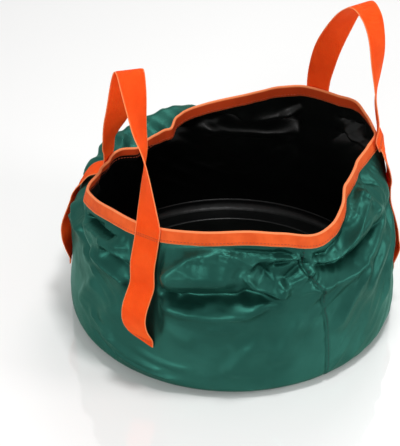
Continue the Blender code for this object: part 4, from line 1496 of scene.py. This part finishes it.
def addTail(side, key):
    footBearing, endBearing = carryStraps[side]["feet"][key]
    label = f"{side}_{key}"
    stand = strap["seat"] + strap["gauge"] / 2
    points, widths = footPath(footBearing, (strap["stitchDrop"], *slackLine["leaving"]))
    spots = list(points)
    for bearing, radius, height in slackPaths[label]:
        spot = Vector(spun(bearing, radius, height)) * mm
        wallSpot, normal = onWall(bearing, height, stand + slackLine["clear"])
        inside = (wallSpot - spot).dot(normal)
        spots.append(spot + normal * max(0.0, inside))
    for z in (*slackLine["endHeights"], strap["endAt"] - strap["endLength"]):
        radius = float(wallRadius(np.array(z))) + stand
        spots.append(Vector(spun(endBearing, radius, z)) * mm)
    line = smoothThrough(spots, slackLine["perSpan"])
    twists = slackTwists.get(label, ((0, 0), (1, 0)))
    turns = []
    for i, spot in enumerate(line):
        level = Vector((-spot.y, spot.x, 0)).normalized()
        free = smoothStep((i / slackLine["perSpan"] - slackLine["levelFrom"]) / slackLine["levelOver"])
        first = widths[0] if widths[0].dot(level) > 0 else -widths[0]
        width = first.lerp(level, float(free)).normalized()
        ahead = (line[min(i + 1, len(line) - 1)] - line[max(i - 1, 0)]).normalized()
        twist = math.radians(between(twists, i / (len(line) - 1)))
        turns.append(Quaternion(ahead, twist) @ width)
    line, turns = evenly(line, turns, slackLine["step"])
    held, skipped = slackLine["held"], slackLine["cleared"]
    line = relaxed(line, slackLine["rounding"], held, held)
    turns = relaxed(turns, slackLine["turnRounding"], held, held)
    line = clearOfWall(line, turns, stand + slackLine["firstClear"], skipped)
    line = clearOfWall(relaxed(line, slackLine["lastRounding"], held, held), turns, stand, skipped)
    piece, spotOn, length = addRibbon(f"strapTail_{label}", line, turns, strap["slant"].get(label, 0))
    followWall(piece)
    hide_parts(f"strap_tail_{label}", f"strap_end_{label}")
    print("slack strap", label, round(length / mm), "mm")
    last = len(line) - 1
    lift = strap["gauge"] / 2 * mm
    outward = spotOn(last, 0, lift) - spotOn(last, 0, 0)
    if outward.x * line[last][0] + outward.y * line[last][1] < 0:
        lift = -lift
    across = np.linspace(-strap["endRowHalf"], strap["endRowHalf"], 15)
    return [[spotOn(last - back, k, lift) for k in across] for back in strap["endRows"]]


endRows = []
for side in ("left", "right"):
    addCarryStrap(side)
    for key in ("front", "rear"):
        endRows += addTail(side, key)
print("straps ready")

stitches = {
    "binding": {"spacing": 3.1, "length": 2.5, "thickness": 0.6, "depth": 9.1},
    "strap": {"spacing": 1.9, "length": 1.6, "thickness": 0.6, "depths": (7.6, 9.4), "half": 10.5},
    "seam": {
        "spacing": 3.4,
        "length": 2.3,
        "thickness": 0.75,
        "from": 4,
        "to": 141,
        "beside": 1.6,  # millimetres right of the seam
        "stand": 0.1,
    },
}


def makeStitchTree():
    tree = bpy.data.node_groups.new("stitches along a line", "GeometryNodeTree")
    face = tree.interface
    face.new_socket("Geometry", in_out="INPUT", socket_type="NodeSocketGeometry")
    for name in ("Spacing", "Stitch Length", "Thread Thickness"):
        face.new_socket(name, in_out="INPUT", socket_type="NodeSocketFloat")
    face.new_socket("Thread", in_out="INPUT", socket_type="NodeSocketMaterial")
    face.new_socket("Geometry", in_out="OUTPUT", socket_type="NodeSocketGeometry")
    nodes, links = tree.nodes, tree.links
    given, result = nodes.new("NodeGroupInput"), nodes.new("NodeGroupOutput")
    curve = nodes.new("GeometryNodeMeshToCurve")
    resample = nodes.new("GeometryNodeResampleCurve")
    resample.mode = "LENGTH"
    bead = nodes.new("GeometryNodeMeshUVSphere")
    bead.inputs["Segments"].default_value = 6
    bead.inputs["Rings"].default_value = 4
    bead.inputs["Radius"].default_value = 0.5
    size = nodes.new("ShaderNodeCombineXYZ")
    shape = nodes.new("GeometryNodeTransform")
    tangent = nodes.new("GeometryNodeInputTangent")
    align = nodes.new("FunctionNodeAlignRotationToVector")
    align.axis = "X"
    place = nodes.new("GeometryNodeInstanceOnPoints")
    real = nodes.new("GeometryNodeRealizeInstances")
    smooth = nodes.new("GeometryNodeSetShadeSmooth")
    finish = nodes.new("GeometryNodeSetMaterial")
    for source, output, target, field in (
        (given, "Geometry", curve, "Mesh"),
        (curve, "Curve", resample, "Curve"),
        (given, "Spacing", resample, "Length"),
        (given, "Stitch Length", size, "X"),
        (given, "Thread Thickness", size, "Y"),
        (given, "Thread Thickness", size, "Z"),
        (bead, "Mesh", shape, "Geometry"),
        (size, "Vector", shape, "Scale"),
        (tangent, "Tangent", align, "Vector"),
        (resample, "Curve", place, "Points"),
        (shape, "Geometry", place, "Instance"),
        (align, "Rotation", place, "Rotation"),
        (place, "Instances", real, "Geometry"),
        (real, "Geometry", smooth, "Geometry"),
        (smooth, "Geometry", finish, "Geometry"),
        (given, "Thread", finish, "Material"),
        (finish, "Geometry", result, "Geometry"),
    ):
        links.new(source.outputs[output], target.inputs[field])
    return tree


stitchTree = makeStitchTree()


def sewn(name, runs, settings, material):  # runs: lists of points, one for each row of stitches
    points, edges = [], []
    for run in runs:
        first = len(points)
        points += [tuple(p) for p in run]
        edges += [(first + k, first + k + 1) for k in range(len(run) - 1)]
    guide = bpy.data.meshes.new(name + "Guide")
    guide.from_pydata(points, edges, [])
    piece = bpy.data.objects.new(name, guide)
    scene.collection.objects.link(piece)
    rows = piece.modifiers.new("stitches", "NODES")
    rows.node_group = stitchTree
    values = {
        "Spacing": settings["spacing"] * mm,
        "Stitch Length": settings["length"] * mm,
        "Thread Thickness": settings["thickness"] * mm,
        "Thread": material,
    }
    for item in stitchTree.interface.items_tree:
        if item.in_out == "INPUT" and item.name in values:
            rows[item.identifier] = values[item.name]
    seen = piece.evaluated_get(bpy.context.evaluated_depsgraph_get())
    made = bpy.data.meshes.new_from_object(seen)
    piece.modifiers.remove(rows)
    piece.data = made
    bpy.data.meshes.remove(guide)
    print(name, len(made.polygons) // 24, "stitches")  # 24 faces in each
    return piece


def onBinding(bearings, depth, stand):
    top, down, normal = rimFrames(bearings)
    share = depth / rim["tapeWidth"]
    return top + down * depth * mm + normal * (stand * mm + bindingRipple(bearings) * share)[:, None]


def addStitches():
    bearings = np.arange(0, 360.5, 0.5)
    outside = rim["seat"] + rim["tapeGauge"]
    inside = -(layers + rim["seat"] + rim["tapeGauge"])
    runs = [onBinding(bearings, stitches["binding"]["depth"], stand) for stand in (outside, inside)]
    piece = sewn("bindingStitches", runs, stitches["binding"], threadMaterial)
    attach(piece, "rim")
    runs = []
    half = stitches["strap"]["half"]
    stand = footStand() + strap["gauge"] / 2
    for side, settings in carryStraps.items():
        for key, (bearing, end) in settings["feet"].items():
            for depth in stitches["strap"]["depths"]:
                spot, down, normal = rimPoint(bearing, depth, stand)
                across = down.cross(normal).normalized()
                runs.append([spot + across * k * mm for k in np.linspace(-half, half, 15)])
    piece = sewn("footStitches", runs, stitches["strap"], threadMaterial)
    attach(piece, "rim")
    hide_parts(*(f"rim_tack_{side}_{key}" for side in carryStraps for key in ("front", "rear")))
    piece = sewn("endStitches", endRows, stitches["strap"], threadMaterial)
    followWall(piece)
    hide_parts(*(f"end_tack_{side}_{key}" for side in carryStraps for key in ("front", "rear")))
    seam = stitches["seam"]
    line = sorted((z, b) for b, z in sideSeam["line"])
    run = []
    for z in np.linspace(seam["from"], seam["to"], 90):
        bearing = float(np.interp(z, [p[0] for p in line], [p[1] for p in line]))
        run.append(onWall(bearing + seam["beside"] / alongPerDegree, z, seam["stand"])[0])
    piece = sewn("seamStitches", [run], seam, seamThreadMaterial)
    followWall(piece)


addStitches()
print("stitching ready")
